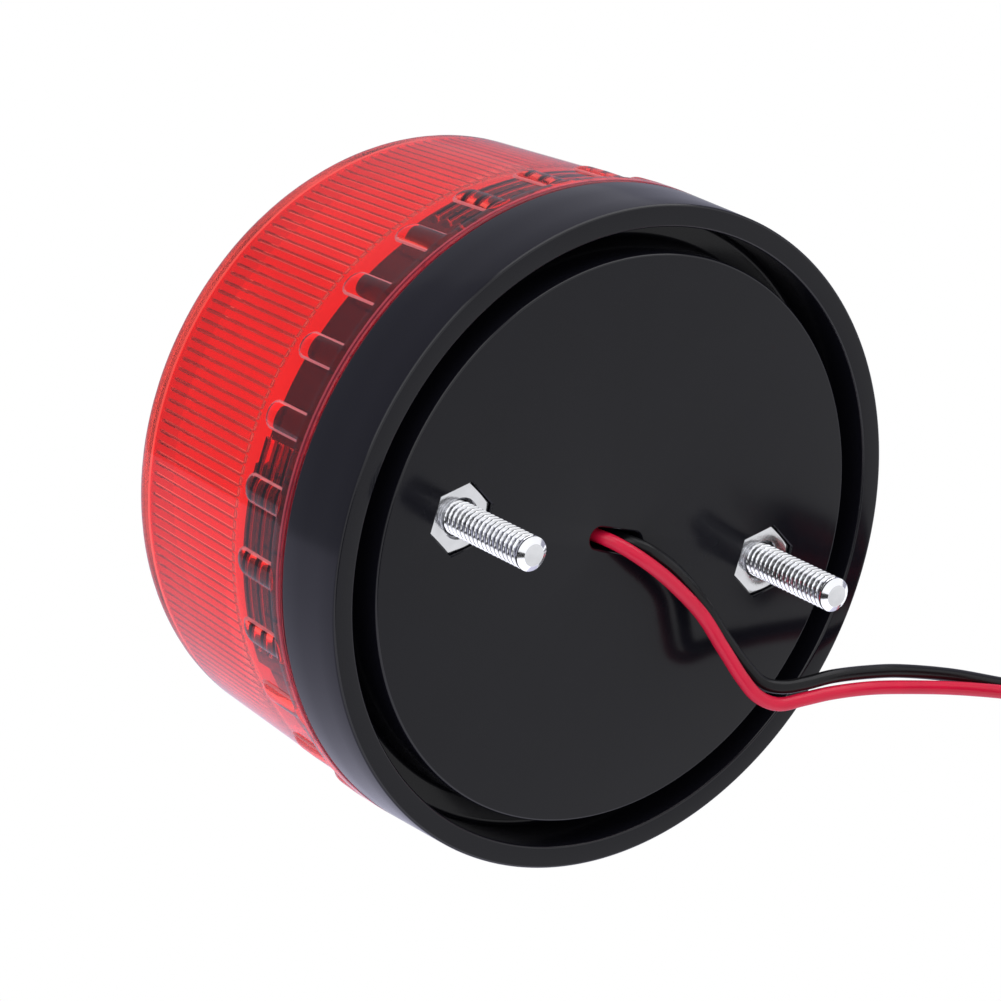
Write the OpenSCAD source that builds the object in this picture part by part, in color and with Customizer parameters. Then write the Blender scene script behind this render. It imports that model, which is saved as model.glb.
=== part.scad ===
// Round strobe beacon with a twist-off ribbed lens, two mounting studs and two flying leads.
// Millimetres, +Z up through the lens, origin at the centre of the mounting plane.

/* [Base] */
// Outside diameter of the base skirt
base_d = 72; // [68:0.5:80]
// Height of the skirt from the mounting plane to its top deck
base_h = 9.1; // [7.5:0.1:12]
// Wall of the outer skirt
skirt_wall = 2.45; // [1.8:0.05:3]
// Width of the ring groove between the skirt and the floor disc
groove_w = 2.75; // [2:0.05:3.5]
// Thickness of the floor disc
floor_t = 2.2; // [1.8:0.1:2.6]
// Thickness of the deck that joins the skirt to the cup
deck_t = 2.2; // [1.6:0.1:3]
// Wall of the inner cup and of the neck above it
cup_wall = 2.2; // [1.6:0.1:2.6]
// Height of the neck above the deck
neck_h = 10.4; // [10.4:0.1:13]
// Bevel on the edges of the base
base_bevel = 0.35; // [0.1:0.05:0.6]

/* [Wire slot] */
// Length of the slot that the leads leave through
slot_l = 7; // [6:0.1:9]
// Width of that slot
slot_w = 2.4; // [2.2:0.1:3.4]

/* [Lens] */
// Height of the lens from its seat to the shoulder plane
lens_h = 30.35; // [29.5:0.05:40]
// Wall of the lens above the neck, and of its top
lens_wall = 2.2; // [1.8:0.1:2.4]
// Thickness of the lens top and of its wall at the shoulder
lens_top_wall = 1.6; // [1.2:0.1:1.8]
// Wall of the lens skirt at the flange
lens_skirt_wall = 2.8; // [2.4:0.1:3.4]
// How much the outside radius shrinks from the flange to the shoulder
lens_draft = 2.2; // [1:0.1:3.5]
// Rounding of the shoulder
shoulder_r = 2.5; // [1.5:0.1:5]
// Rise of the crowned top
dome_h = 1; // [0.4:0.1:4]
// Height of the flange at the lens foot
flange_h = 1.8; // [1.5:0.1:3.5]
// How far the flange stands out past the skirt of the base
flange_proud = 0; // [0:0.05:0.3]
// Clearance between the flange and the deck
seat_gap = 0.15; // [0.1:0.05:0.3]

/* [Lens flutes] */
// Number of upright flutes inside the lens
flute_count = 180; // [120:4:200]
// How far a flute stands in from the lens wall
flute_proud = 0.2; // [0.1:0.05:0.4]
// Width of the groove between two flutes at its bottom
flute_land = 0.12; // [0.1:0.01:0.3]
// How much a flute narrows from its root to its face, on each side
flute_slope = 0.12; // [0.05:0.01:0.2]
// Plain wall left between the step above the neck and the flutes
flute_foot = 0.3; // [0.2:0.1:3]

/* [Grip lugs] */
// Number of grip lugs round the lens
lug_count = 28; // [16:1:32]
// Width of a lug
lug_w = 3; // [2:0.1:4]
// Height of a lug above the flange
lug_h = 6.9; // [5:0.1:10]
// How far a lug stands out of the lens wall
lug_proud = 0.55; // [0.45:0.05:1]
// Angle of the first lug
lug_phase = 7.4; // [0:0.1:12]

/* [Twist lock] */
// Number of locking sectors round the neck
lock_sectors = 4; // [2:1:4]
// Sweep of a locking sector
lock_sweep = 40; // [30:1:41]
// Angle at which the first sector of the neck starts
lock_phase = 52; // [0:1:89]
// Number of ridges on each sector of the neck
ridge_rows = 4; // [2:1:4]
// Spacing of the ridges
ridge_pitch = 2.15; // [2.05:0.05:2.3]
// Thickness of a neck ridge at half its depth
ridge_t = 0.9; // [0.7:0.05:1]
// Thickness of a lens ridge at half its depth
lens_ridge_t = 0.6; // [0.45:0.05:0.7]
// How far a ridge stands out
ridge_proud = 1.6; // [1.2:0.05:1.8]
// Radial clearance between ridges and the wall they face
twist_gap = 0.35; // [0.25:0.05:0.6]
// Sweep of the stop rib that ends each sector of the neck
stop_sweep = 4; // [3:0.5:6]
// Angle left between the stop rib and the lens sector when it is locked
stop_gap = 0.8; // [0.6:0.1:2]

/* [Studs and nuts] */
// Distance between the two studs
stud_spacing = 42.5; // [38:0.5:44]
// Outside diameter of the stud thread
stud_d = 3.9; // [3.6:0.1:4.2]
// Diameter of the stud inside the nut and the floor
stud_core_d = 3.3; // [2.8:0.1:3.4]
// Length of a stud beyond the mounting plane
stud_l = 11.9; // [8:0.1:20]
// Bevel at the stud tip
stud_bevel = 0.5; // [0.2:0.05:0.8]
// Diameter of the screw head inside the base
head_d = 7.2; // [5.5:0.1:8]
// Height of the screw head
head_h = 2.2; // [1.6:0.1:2.8]
// Width across the flats of a nut
nut_af = 6.6; // [6.2:0.05:7.2]
// Thickness of a nut
nut_t = 2.2; // [2:0.1:2.6]
// How far the outer face of a nut lies below the mounting plane
nut_sunk = 0.3; // [0:0.05:0.5]
// Floor left between the nut pocket and the screw head
stud_web = 1.6; // [1.2:0.1:1.8]
// Diameter of the boss round each screw
stud_boss_d = 11; // [9.5:0.5:12]
// Clearance of a nut in its pocket and of a screw in its hole
stud_clear = 0.12; // [0.05:0.01:0.3]

/* [Circuit board] */
// Height of the underside of the board above the mounting plane
board_z = 8; // [7.6:0.1:10]
// Thickness of the board
board_t = 1.6; // [1:0.1:2]
// Gap between the board and the cup wall
board_gap = 1.1; // [0.5:0.1:2]
// Distance of the board screws from the board edge
board_screw_inset = 5.5; // [5:0.1:7]
// Diameter of a board boss
board_boss_d = 6; // [5:0.1:7]
// Diameter of a board screw
board_screw_d = 2.5; // [2:0.1:2.8]
// Length of a board screw under its head
board_screw_l = 6; // [4:0.1:6.5]
// Diameter of a board screw head
board_head_d = 5; // [4:0.1:5.4]
// Height of a board screw head
board_head_h = 1.7; // [1.2:0.1:2.2]
// Radial clearance of a screw in its boss
screw_clear = 0.05; // [0.03:0.01:0.1]
// Radial clearance of a screw or a pin in a board hole
hole_clear = 0.25; // [0.1:0.05:0.4]

/* [Flash tube] */
// Diameter of the glass tube
tube_d = 4.5; // [3.5:0.1:5.5]
// Distance between the two legs of the tube
tube_span = 12; // [10:0.2:13]
// Length of a straight leg
tube_leg = 10; // [6:0.2:11]
// Height of the tube ends above the board
tube_stand = 4.6; // [3:0.1:6]
// Diameter of a tube pin
pin_d = 0.9; // [0.6:0.05:1.2]
// How far a pin comes out under the board
pin_tail = 1; // [0.5:0.1:1.5]
// Diameter of the trigger wire
trigger_wire_d = 0.5; // [0.4:0.05:0.7]
// Gap between the trigger wire and the glass
trigger_gap = 0.05; // [0.03:0.01:0.2]

/* [Board parts] */
// Diameter of the storage capacitor
cap_d = 10; // [8:0.5:11]
// Height of the storage capacitor
cap_h = 16; // [12:0.5:18]
// Diameter of the trigger transformer
trigger_d = 7; // [5:0.1:8]
// Height of the trigger transformer
trigger_h = 9; // [6:0.1:11]
// Width of the converter transformer core
core_w = 13; // [11:0.1:14]
// Depth of the core
core_t = 6; // [5:0.1:7]
// Height of the core
core_h = 12; // [10:0.1:14]
// Width of the core's middle leg
core_leg = 4; // [3:0.1:4.4]
// Thickness of the core's yokes and outer legs
core_yoke = 2; // [1.6:0.1:2.2]
// Thickness of the winding round the middle leg
winding_t = 2; // [1.2:0.1:2.2]
// Clearance of the winding on its core
winding_gap = 0.15; // [0.1:0.01:0.2]
// Length of the film capacitor
film_l = 9; // [7:0.1:10]
// Thickness of the film capacitor
film_t = 4; // [3:0.1:4.5]
// Height of the film capacitor
film_h = 7; // [5:0.1:8]
// Width of the switching transistor
transistor_w = 8; // [7:0.1:9]
// Thickness of the switching transistor
transistor_t = 3; // [2.5:0.1:3.5]
// Height of the transistor body
transistor_h = 11; // [9:0.1:12]
// Height of the legs under upright packages
leg_h = 2; // [1.5:0.1:3]
// Diameter of the small round-backed thyristor
thyristor_d = 4.8; // [4:0.1:5.2]
// Height of the thyristor body
thyristor_h = 4.8; // [4:0.1:6]
// Diameter of a diode body
diode_d = 2.7; // [2:0.1:3]
// Length of a diode body
diode_l = 5.2; // [4:0.1:6]
// Diameter of a resistor body
resistor_d = 2.3; // [1.8:0.1:2.4]
// Length of a resistor body
resistor_l = 6.3; // [5:0.1:7]
// Diameter of the wire of axial parts
wire_d = 0.6; // [0.4:0.05:0.8]
// Distance between the bent wires of an axial part
axial_pitch = 10; // [9:0.1:10.5]

/* [Board places] */
// Angle of the trigger transformer round the board
trigger_angle = 38; // [34:0.5:40]
// Distance of the trigger transformer from the board edge
trigger_inset = 10.2; // [9.5:0.1:10.5]
// Angle of the storage capacitor round the board
cap_angle = 144; // [142:0.5:150]
// Distance of the storage capacitor from the board edge
cap_inset = 10.2; // [9:0.1:10.4]
// Angle of the film capacitor round the board
film_angle = 262; // [260:0.5:264]
// Distance of the film capacitor from the board edge
film_inset = 13.2; // [13:0.1:14]
// Angle of the converter transformer round the board
core_angle = -40; // [-42:0.5:-36]
// Distance of the converter transformer from the board edge
core_inset = 10.4; // [10:0.1:10.6]
// Angle of the switching transistor round the board
transistor_angle = 211; // [205:0.5:214]
// Distance of the switching transistor from the board edge
transistor_inset = 10.4; // [8:0.1:11]
// Turn of the switching transistor
transistor_turn = 30; // [20:1:40]
// Angle of the thyristor round the board
thyristor_angle = 82; // [80:0.5:100]
// Distance of the thyristor from the board edge
thyristor_inset = 15; // [14:0.1:16]
// Angle between a diode and the board's Y axis
diode_angle = 27; // [26:0.5:29]
// Distance of a diode from the board edge
diode_inset = 4.8; // [4.6:0.1:5]
// Angle between an inner resistor and the board's Y axis
resistor_angle = 24; // [23.5:0.5:25]
// Distance of an inner resistor from the board edge
resistor_inset = 7.6; // [7.4:0.1:8]
// Angle between the outer resistor and the board's Y axis
outer_resistor_angle = 22; // [21:0.5:23]
// Distance of the outer resistor from the board edge
outer_resistor_inset = 4.3; // [4.2:0.1:4.4]

/* [Leads] */
// Diameter of each lead
lead_d = 1.5; // [1.2:0.05:1.6]
// Radius of the put-away coil at the middle of its turns
coil_r = 8.25; // [8:0.05:9]
// Number of turns in that coil
coil_turns = 2.2; // [1.5:0.1:4]
// Gap between neighbouring turns
coil_gap = 0.1; // [0.05:0.05:0.3]
// Thickness of the tie round the coil
tie_t = 0.8; // [0.5:0.1:1.2]
// Sweep of the tie along the coil
tie_sweep = 18; // [12:1:30]
// Diameter of a stripped lead end
bare_d = 0.8; // [0.5:0.05:1]
// Length of a stripped lead end
bare_l = 6; // [4:0.5:9]

/* [Hidden] */
$fn = 96;
fuse = 0.2;
base_r = base_d / 2;
disc_r = base_r - skirt_wall - groove_w;
cup_r = disc_r - cup_wall;
neck_top = base_h + neck_h;
nut_top = nut_sunk + nut_t;
stud_seat = nut_top + stud_web;
lens_z = base_h + seat_gap;
flange_top = lens_z + flange_h;
lens_top = lens_z + lens_h;
flange_r = base_r + flange_proud;
bore_r = disc_r + ridge_proud + twist_gap;
lens_foot_r = bore_r + lens_skirt_wall;
draft_angle = atan(lens_draft / (lens_top - flange_top));
inner_fillet = 1;
lens_step = neck_top + 0.5;
flute_low = lens_step + flute_foot;
flute_high = lens_top - lens_top_wall - inner_fillet;
wall_taper = (lens_wall - lens_top_wall) / (lens_top - lens_step);
inner_angle = atan(tan(draft_angle) - wall_taper);
ridge_slope = 0.2;
ridge_top = neck_top - ridge_t / 2 - 0.4;
sector_step = 360 / lock_sectors;
lens_phase = lock_phase + stop_sweep + stop_gap;
seam_angle = lug_phase + 8.5 * 360 / lug_count;
board_r = cup_r - board_gap;
board_top = board_z + board_t;
board_screw_r = board_r - board_screw_inset;
board_screw_angles = [90, 270];
axial_lift = 0.3;
tie_gap = 0.05;
lead_step = lead_d + coil_gap;
coil_w = 2 * coil_turns * lead_step + lead_step + lead_d;
coil_x = 54.75;
coil_z = -24;
coil_edge_y = 9.65;
tie_angle = 180;
lead_sides = 8;
lead_steps = 2;

// Routes of the two leads from the underside of the board, through the slot, to the coil.
red_route = [[-2.4, 0, 8], [-2.4, 0, 6], [-2.2, 0, 3.8], [-1.6, 0, 1.6], [-0.3, 0.2, -0.6], [2.2, 1.1, -2.3],
    [6.1, 2.8, -3], [11, 5.6, -3.7], [14.2, 8.6, -4.9], [17.2, 11.5, -6.2], [19.4, 13, -7],
    [22.2, 13.4, -7.4], [25.2, 12.5, -7.6], [29, 11.4, -7.7], [34, 10.4, -7.8], [39, 9.8, -7.9],
    [46, 9.2, -8.1], [53.5, 8.9, -8.3], [57, 8.9, -8.9], [60.2, 8.9, -10.8], [62.3, 8.9, -14],
    [63, 8.9, -18], [63, 8.9, -22.5]];
black_route = [[0.6, 0, 8], [0.7, 0, 6], [1, 0, 3.8], [1.5, 0, 1.7], [2.4, 0, -0.2], [4.3, 0.5, -1.4],
    [7.8, 2, -1.8], [12.3, 4.9, -2.3], [15.4, 7.8, -3.4], [18.4, 10.5, -5], [20.4, 11.7, -5.9],
    [22.7, 11.7, -6.6], [25.6, 10.9, -6.9], [29.2, 9.8, -6.9], [34.2, 8.9, -6.8], [39, 8.3, -6.9],
    [46.6, 8.1, -6.8], [54.6, 8.4, -6.8], [58.6, 8.3, -7.7], [61.8, 7.9, -10.3], [63.3, 7.5, -14],
    [63.2, 7.3, -18], [63, 7.3, -22.5]];

// Points of an arc in the profile plane.
function arc(c, r, a0, a1, n) = [for (i = [0:n]) let (a = a0 + (a1 - a0) * i / n) c + r * [cos(a), sin(a)]];

// Outside radius of the lens wall at a height.
function lens_r(z) = lens_foot_r - tan(draft_angle) * (z - flange_top);
function hollow_r(z) = lens_r(z) - lens_wall + wall_taper * (z - lens_step);

// A point on a smooth curve through a route.
function on_curve(p, i, t) = let (
    a = p[max(i - 1, 0)], b = p[i], c = p[i + 1], d = p[min(i + 2, len(p) - 1)])
    0.5 * (2 * b + (c - a) * t + (2 * a - 5 * b + 4 * c - d) * t ^ 2 + (3 * b - a - 3 * c + d) * t ^ 3);

// The smooth curve of a route as a list of points.
function curve(p) = concat(
    [for (i = [0:len(p) - 2], k = [0:lead_steps - 1]) on_curve(p, i, k / lead_steps)], [p[len(p) - 1]]);

// Direction of a curve at one of its points.
function heading(q, i) = let (v = q[min(i + 1, len(q) - 1)] - q[max(i - 1, 0)]) v / norm(v);

// One ring of a swept tube, square to the curve.
function ring(q, i, r) = let (
    t = heading(q, i), u0 = cross(t, [0, 1, 0]), u = u0 / norm(u0), v = cross(t, u))
    [for (k = [0:lead_sides - 1]) q[i] + r * (cos(360 * k / lead_sides) * u + sin(360 * k / lead_sides) * v)];

module tube_along(route, d) {
    q = curve(route);
    n = len(q);
    s = lead_sides;
    sides = [for (i = [0:n - 2], k = [0:s - 1]) let (j = (k + 1) % s)
        each [[i * s + k, i * s + j, (i + 1) * s + j], [i * s + k, (i + 1) * s + j, (i + 1) * s + k]]];
    first = [for (k = [0:s - 1]) s - 1 - k];
    last = [for (k = [0:s - 1]) (n - 1) * s + k];
    polyhedron([for (i = [0:n - 1]) each ring(q, i, d / 2)], concat(sides, [first, last]));
}

// Outline of a pan head in the profile plane, from the edge of its seat to the axis.
function pan_head(d, h, z) = concat(
    [[d / 2, z]], arc([d / 2 - h * 0.7, z + h * 0.3], h * 0.7, 0, 90, 5), [[0, z + h]]);

module cross_recess(d, h, z) {
    for (a = [0, 90]) rotate(a) translate([-d * 0.28, -d * 0.06, z + h * 0.4]) cube([d * 0.56, d * 0.12, h]);
}

module slot_2d(l, w) {
    square([l - w, w], center = true);
    for (s = [-1, 1]) translate([s * (l - w) / 2, 0]) circle(d = w);
}

module at_studs() {
    for (s = [-1, 1]) translate([s * stud_spacing / 2, 0, 0]) children();
}

module at_board_screws() {
    for (a = board_screw_angles) rotate(a) translate([board_screw_r, 0, 0]) children();
}

// Places a part on the board by its angle and its distance from the board edge.
module on_board(angle, inset, turn = 0) {
    r = board_r - inset;
    translate([r * cos(angle), r * sin(angle), board_top]) rotate(turn) children();
}

// Wedge-sectioned ridges on a sector; side is 1 where they stand outwards and -1 where they stand inwards.
module ridges(root_r, side, t, zs, start, sweep) {
    for (z = zs) rotate(start) rotate_extrude(angle = sweep) polygon([
        [root_r - side * fuse, z - t / 2 - ridge_slope], [root_r, z - t / 2 - ridge_slope],
        [root_r + side * ridge_proud, z - t / 2 + ridge_slope],
        [root_r + side * ridge_proud, z + t / 2 - ridge_slope],
        [root_r, z + t / 2 + ridge_slope], [root_r - side * fuse, z + t / 2 + ridge_slope]]);
}

module base_section() {
    b = base_bevel;
    groove_r = base_r - skirt_wall;
    polygon([[0, 0], [disc_r - b, 0], [disc_r, b], [disc_r, base_h - deck_t], [groove_r, base_h - deck_t],
        [groove_r, b], [groove_r + b, 0], [base_r - b, 0], [base_r, b], [base_r, base_h - b],
        [base_r - b, base_h], [disc_r, base_h], [disc_r, neck_top - b], [disc_r - b, neck_top],
        [cup_r, neck_top], [cup_r, floor_t], [0, floor_t]]);
}

module base() {
    zs = [for (i = [0:ridge_rows - 1]) ridge_top - i * ridge_pitch];
    low = ridge_top - (ridge_rows - 1) * ridge_pitch;
    color([0.09, 0.09, 0.1]) difference() {
        union() {
            rotate(seam_angle) rotate_extrude() base_section();
            for (k = [0:lock_sectors - 1]) {
                ridges(disc_r, 1, ridge_t, zs, lock_phase + k * sector_step, lock_sweep);
                rotate(lock_phase + k * sector_step) rotate_extrude(angle = stop_sweep)
                    translate([disc_r - fuse, low]) square([ridge_proud + fuse, ridge_top - low]);
            }
            at_studs() translate([0, 0, floor_t - fuse])
                cylinder(d = stud_boss_d, h = stud_seat - floor_t + fuse);
            at_board_screws() translate([0, 0, floor_t - fuse])
                cylinder(d = board_boss_d, h = board_z - floor_t + fuse);
        }
        translate([0, 0, -1]) linear_extrude(floor_t + 2) slot_2d(slot_l, slot_w);
        at_studs() {
            translate([0, 0, -1]) rotate(30)
                cylinder(d = (nut_af + 2 * stud_clear) / cos(30), h = nut_top + 1, $fn = 6);
            translate([0, 0, -1]) cylinder(d = stud_core_d + 2 * stud_clear, h = stud_seat + 2);
        }
        at_board_screws() translate([0, 0, board_z + board_t - board_screw_l - 0.4])
            cylinder(d = board_screw_d + 2 * screw_clear, h = board_screw_l + 1);
    }
}

module lens_shell() {
    da = draft_angle;
    zc = lens_top - shoulder_r;
    rc = lens_r(zc + shoulder_r * sin(da)) - shoulder_r * cos(da);
    ia = inner_angle;
    zi = lens_top - lens_top_wall - inner_fillet;
    ri = hollow_r(zi + inner_fillet * sin(ia)) - inner_fillet * cos(ia);
    crown = [for (k = [1:8]) let (s = 1 - k / 8) [rc * s, lens_top + dome_h * (1 - s * s)]];
    under = [for (k = [0:7]) let (s = k / 8) [ri * s, lens_top - lens_top_wall + dome_h * (1 - s * s)]];
    rotate(seam_angle) rotate_extrude() polygon(concat(
        [[bore_r, lens_z], [flange_r - 0.3, lens_z], [flange_r, lens_z + 0.3], [flange_r, flange_top],
            [lens_foot_r, flange_top]],
        arc([rc, zc], shoulder_r, da, 90, 8), crown, under,
        arc([ri, zi], inner_fillet, 90, ia, 5),
        [[hollow_r(lens_step), lens_step], [bore_r, lens_step - 0.3]]));
}

// Upright flutes of trapezium section that lean with the wall.
module flutes() {
    r = hollow_r(flute_low);
    w = 360 / flute_count * PI / 180 * hollow_r(flute_high) - flute_land;
    for (k = [0:flute_count - 1]) rotate(seam_angle + (k + 0.5) * 360 / flute_count)
        translate([r, 0, flute_low]) rotate([0, -inner_angle, 0])
            linear_extrude((flute_high - flute_low) / cos(inner_angle))
                polygon([[fuse, -w / 2], [0, -w / 2], [-flute_proud, flute_slope - w / 2],
                    [-flute_proud, w / 2 - flute_slope], [0, w / 2], [fuse, w / 2]]);
}

module lug_pads() {
    z_tip = flange_top + lug_h - lug_w / 2;
    intersection() {
        for (k = [0:lug_count - 1]) rotate(lug_phase + k * 360 / lug_count)
            translate([bore_r + lens_skirt_wall / 2, 0, 0]) rotate([90, 0, 90])
                linear_extrude(lens_skirt_wall + lug_proud + flange_proud) union() {
                    translate([-lug_w / 2, flange_top - fuse]) square([lug_w, z_tip - flange_top + fuse]);
                    translate([0, z_tip]) circle(d = lug_w);
                }
        rotate(seam_angle) rotate_extrude() polygon([[bore_r + fuse, flange_top - fuse],
            [lens_r(flange_top) + lug_proud, flange_top - fuse],
            [lens_r(flange_top + lug_h) + lug_proud, flange_top + lug_h + 1],
            [bore_r + fuse, flange_top + lug_h + 1]]);
    }
}

module lens() {
    zs = [for (i = [0:ridge_rows - 2]) ridge_top - (i + 0.5) * ridge_pitch];
    color([0.85, 0.1, 0.08, 0.6]) {
        lens_shell();
        flutes();
        lug_pads();
        for (k = [0:lock_sectors - 1])
            ridges(bore_r, -1, lens_ridge_t, zs, lens_phase + k * sector_step, lock_sweep);
    }
}

module mounting_screws() {
    r = stud_d / 2;
    color("silver") at_studs() difference() {
        rotate_extrude() polygon(concat([[0, -stud_l], [r - stud_bevel, -stud_l], [r, -stud_l + stud_bevel / 2],
            [r, nut_sunk], [stud_core_d / 2, nut_sunk], [stud_core_d / 2, stud_seat]],
            pan_head(head_d, head_h, stud_seat)));
        cross_recess(head_d, head_h, stud_seat);
    }
}

module hex_nuts() {
    across = nut_af / cos(30);
    mouth = stud_d + 0.9;
    drop = (across - nut_af) / 2 * tan(30);
    color("silver") at_studs() difference() {
        intersection() {
            translate([0, 0, nut_sunk]) rotate(30) cylinder(d = across, h = nut_t, $fn = 6);
            rotate_extrude() polygon([[0, nut_sunk], [nut_af / 2, nut_sunk], [across / 2, nut_sunk + drop],
                [across / 2, nut_top - drop], [nut_af / 2, nut_top], [0, nut_top]]);
        }
        translate([0, 0, nut_sunk - 1]) cylinder(d = stud_core_d + 2 * screw_clear, h = nut_t + 2);
        translate([0, 0, nut_sunk]) cylinder(d1 = mouth, d2 = stud_core_d, h = (mouth - stud_core_d) / 2);
    }
}

module circuit_board() {
    color([0.12, 0.35, 0.16]) difference() {
        translate([0, 0, board_z]) cylinder(r = board_r, h = board_t);
        at_board_screws() translate([0, 0, board_z - 1])
            cylinder(d = board_screw_d + 2 * hole_clear, h = board_t + 2);
        for (s = [-1, 1]) translate([s * tube_span / 2, 0, board_z - 1])
            cylinder(d = pin_d + 2 * hole_clear, h = board_t + 2);
    }
}

module board_screws() {
    r = board_screw_d / 2;
    color("silver") at_board_screws() difference() {
        rotate_extrude() polygon(concat([[0, board_top - board_screw_l], [r - 0.6, board_top - board_screw_l],
            [r, board_top - board_screw_l + 1], [r, board_top]],
            pan_head(board_head_d, board_head_h, board_top)));
        cross_recess(board_head_d, board_head_h, board_top);
    }
}

module flash_tube() {
    z0 = board_top + tube_stand;
    color([0.9, 0.95, 1, 0.5]) {
        for (s = [-1, 1]) translate([s * tube_span / 2, 0, z0]) cylinder(d = tube_d, h = tube_leg);
        translate([0, 0, z0 + tube_leg]) rotate([90, 0, 0]) rotate_extrude(angle = 180)
            translate([tube_span / 2, 0]) circle(d = tube_d);
    }
}

module tube_pins() {
    z0 = board_z - pin_tail;
    color("silver") for (s = [-1, 1]) translate([s * tube_span / 2, 0, z0])
        cylinder(d = pin_d, h = board_top + tube_stand - z0);
}

module trigger_wire() {
    r = tube_d / 2 + trigger_gap + trigger_wire_d / 2;
    z = board_top + tube_stand + tube_leg + tube_span / 2;
    color([0.8, 0.75, 0.65]) {
        translate([0, 0, z]) rotate([0, 90, 0]) rotate(90) rotate_extrude(angle = 270)
            translate([r, 0]) circle(d = trigger_wire_d, $fn = 48);
        translate([0, r, board_top]) cylinder(d = trigger_wire_d, h = z - board_top, $fn = 48);
    }
}

module trigger_transformer() {
    rim = 1;
    r = trigger_d / 2;
    color([0.85, 0.7, 0.3]) on_board(trigger_angle, trigger_inset) rotate_extrude() polygon([[0, 0], [r, 0], [r, rim],
        [r - 0.5, rim], [r - 0.5, trigger_h - rim], [r, trigger_h - rim], [r, trigger_h], [0, trigger_h]]);
}

module storage_capacitor() {
    edge = 0.8;
    crimp = 1.8;
    r = cap_d / 2;
    color([0.15, 0.2, 0.45]) on_board(cap_angle, cap_inset) rotate_extrude() polygon(concat(
        [[0, 0], [r - 0.3, 0], [r, 0.3], [r, crimp - 0.5], [r - 0.4, crimp], [r, crimp + 0.5]],
        arc([r - edge, cap_h - edge], edge, 0, 90, 5), [[0, cap_h]]));
}

module film_capacitor() {
    b = 0.5;
    x = film_l / 2;
    color([0.7, 0.25, 0.1]) on_board(film_angle, film_inset) rotate([90, 0, 0]) translate([0, 0, -film_t / 2])
        linear_extrude(film_t) polygon([[b - x, 0], [x - b, 0], [x, b], [x, film_h - b], [x - b, film_h],
            [b - x, film_h], [-x, film_h - b], [-x, b]]);
}

module at_transformer() {
    on_board(core_angle, core_inset) children();
}

module transformer_core() {
    window = (core_w - core_leg) / 2 - core_yoke;
    color([0.2, 0.2, 0.22]) at_transformer() difference() {
        translate([-core_w / 2, -core_t / 2, 0]) cube([core_w, core_t, core_h]);
        for (s = [-1, 1]) translate([s * (core_leg + window) / 2, 0, core_h / 2])
            cube([window, core_t + 1, core_h - 2 * core_yoke], center = true);
    }
}

module transformer_winding() {
    inner = [core_leg + 2 * winding_gap, core_t + 2 * winding_gap];
    h = core_h - 2 * core_yoke - 2 * winding_gap;
    z = core_yoke + winding_gap;
    color([0.8, 0.5, 0.2]) at_transformer() translate([0, 0, z]) linear_extrude(h) difference() {
        union() {
            square([inner[0] + 2 * winding_t, inner[1]], center = true);
            square([inner[0], inner[1] + 2 * winding_t], center = true);
            for (x = [-1, 1], y = [-1, 1]) translate([x * inner[0] / 2, y * inner[1] / 2])
                circle(r = winding_t);
        }
        square(inner, center = true);
    }
}

module switching_transistor() {
    pitch = transistor_w * 0.28;
    color([0.13, 0.13, 0.14]) on_board(transistor_angle, transistor_inset, transistor_turn) {
        difference() {
            translate([-transistor_w / 2, -transistor_t / 2, leg_h])
                cube([transistor_w, transistor_t, transistor_h]);
            translate([0, 0, leg_h + transistor_h * 0.7]) rotate([90, 0, 0])
                cylinder(d = transistor_w * 0.4, h = transistor_t + 1, center = true);
        }
        for (k = [-1, 0, 1]) translate([k * pitch - 0.3, -0.3, 0]) cube([0.6, 0.6, leg_h + fuse]);
    }
}

module thyristor() {
    color([0.13, 0.13, 0.14]) on_board(thyristor_angle, thyristor_inset, 180) {
        translate([0, 0, leg_h]) linear_extrude(thyristor_h) difference() {
            circle(d = thyristor_d);
            translate([-thyristor_d, thyristor_d * 0.25]) square([2 * thyristor_d, thyristor_d]);
        }
        for (k = [-1, 0, 1]) translate([k * thyristor_d * 0.27 - 0.25, -0.25, 0])
            cube([0.5, 0.5, leg_h + fuse]);
    }
}

// A round-bodied part lying on its two bent wires.
module axial_part(d, l) {
    z = d / 2 + axial_lift;
    translate([0, 0, z]) rotate([0, 90, 0]) {
        cylinder(d = d, h = l, center = true, $fn = 48);
        cylinder(d = wire_d, h = axial_pitch + wire_d, center = true, $fn = 24);
    }
    for (s = [-1, 1]) translate([s * axial_pitch / 2, 0, 0]) cylinder(d = wire_d, h = z, $fn = 24);
}

module diodes() {
    color([0.12, 0.12, 0.13]) for (s = [-1, 1]) on_board(270 + s * diode_angle, diode_inset)
        axial_part(diode_d, diode_l);
}

module resistors() {
    color([0.75, 0.65, 0.45]) {
        for (s = [-1, 1]) on_board(90 + s * resistor_angle, resistor_inset) axial_part(resistor_d, resistor_l);
        on_board(90 + outer_resistor_angle, outer_resistor_inset) axial_part(resistor_d, resistor_l);
    }
}

module red_lead() {
    color([0.85, 0.12, 0.3]) tube_along(red_route, lead_d);
}

module black_lead() {
    color([0.07, 0.07, 0.08]) tube_along(black_route, lead_d);
}

// Frame of the put-away coil: its axis lies along Y.
module at_coil() {
    translate([coil_x, coil_edge_y - coil_w / 2, coil_z]) rotate([90, 0, 0]) children();
}

module lead_coil() {
    color([0.45, 0.08, 0.15]) at_coil() rotate_extrude()
        translate([coil_r - lead_d / 2, -coil_w / 2]) square([lead_d, coil_w]);
}

module lead_tie() {
    g = tie_gap;
    color([0.05, 0.05, 0.05]) at_coil() rotate(tie_angle - tie_sweep / 2) rotate_extrude(angle = tie_sweep)
        translate([coil_r, 0]) difference() {
            square([lead_d + 2 * (g + tie_t), coil_w + 2 * (g + tie_t)], center = true);
            square([lead_d + 2 * g, coil_w + 2 * g], center = true);
        }
}

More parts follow.
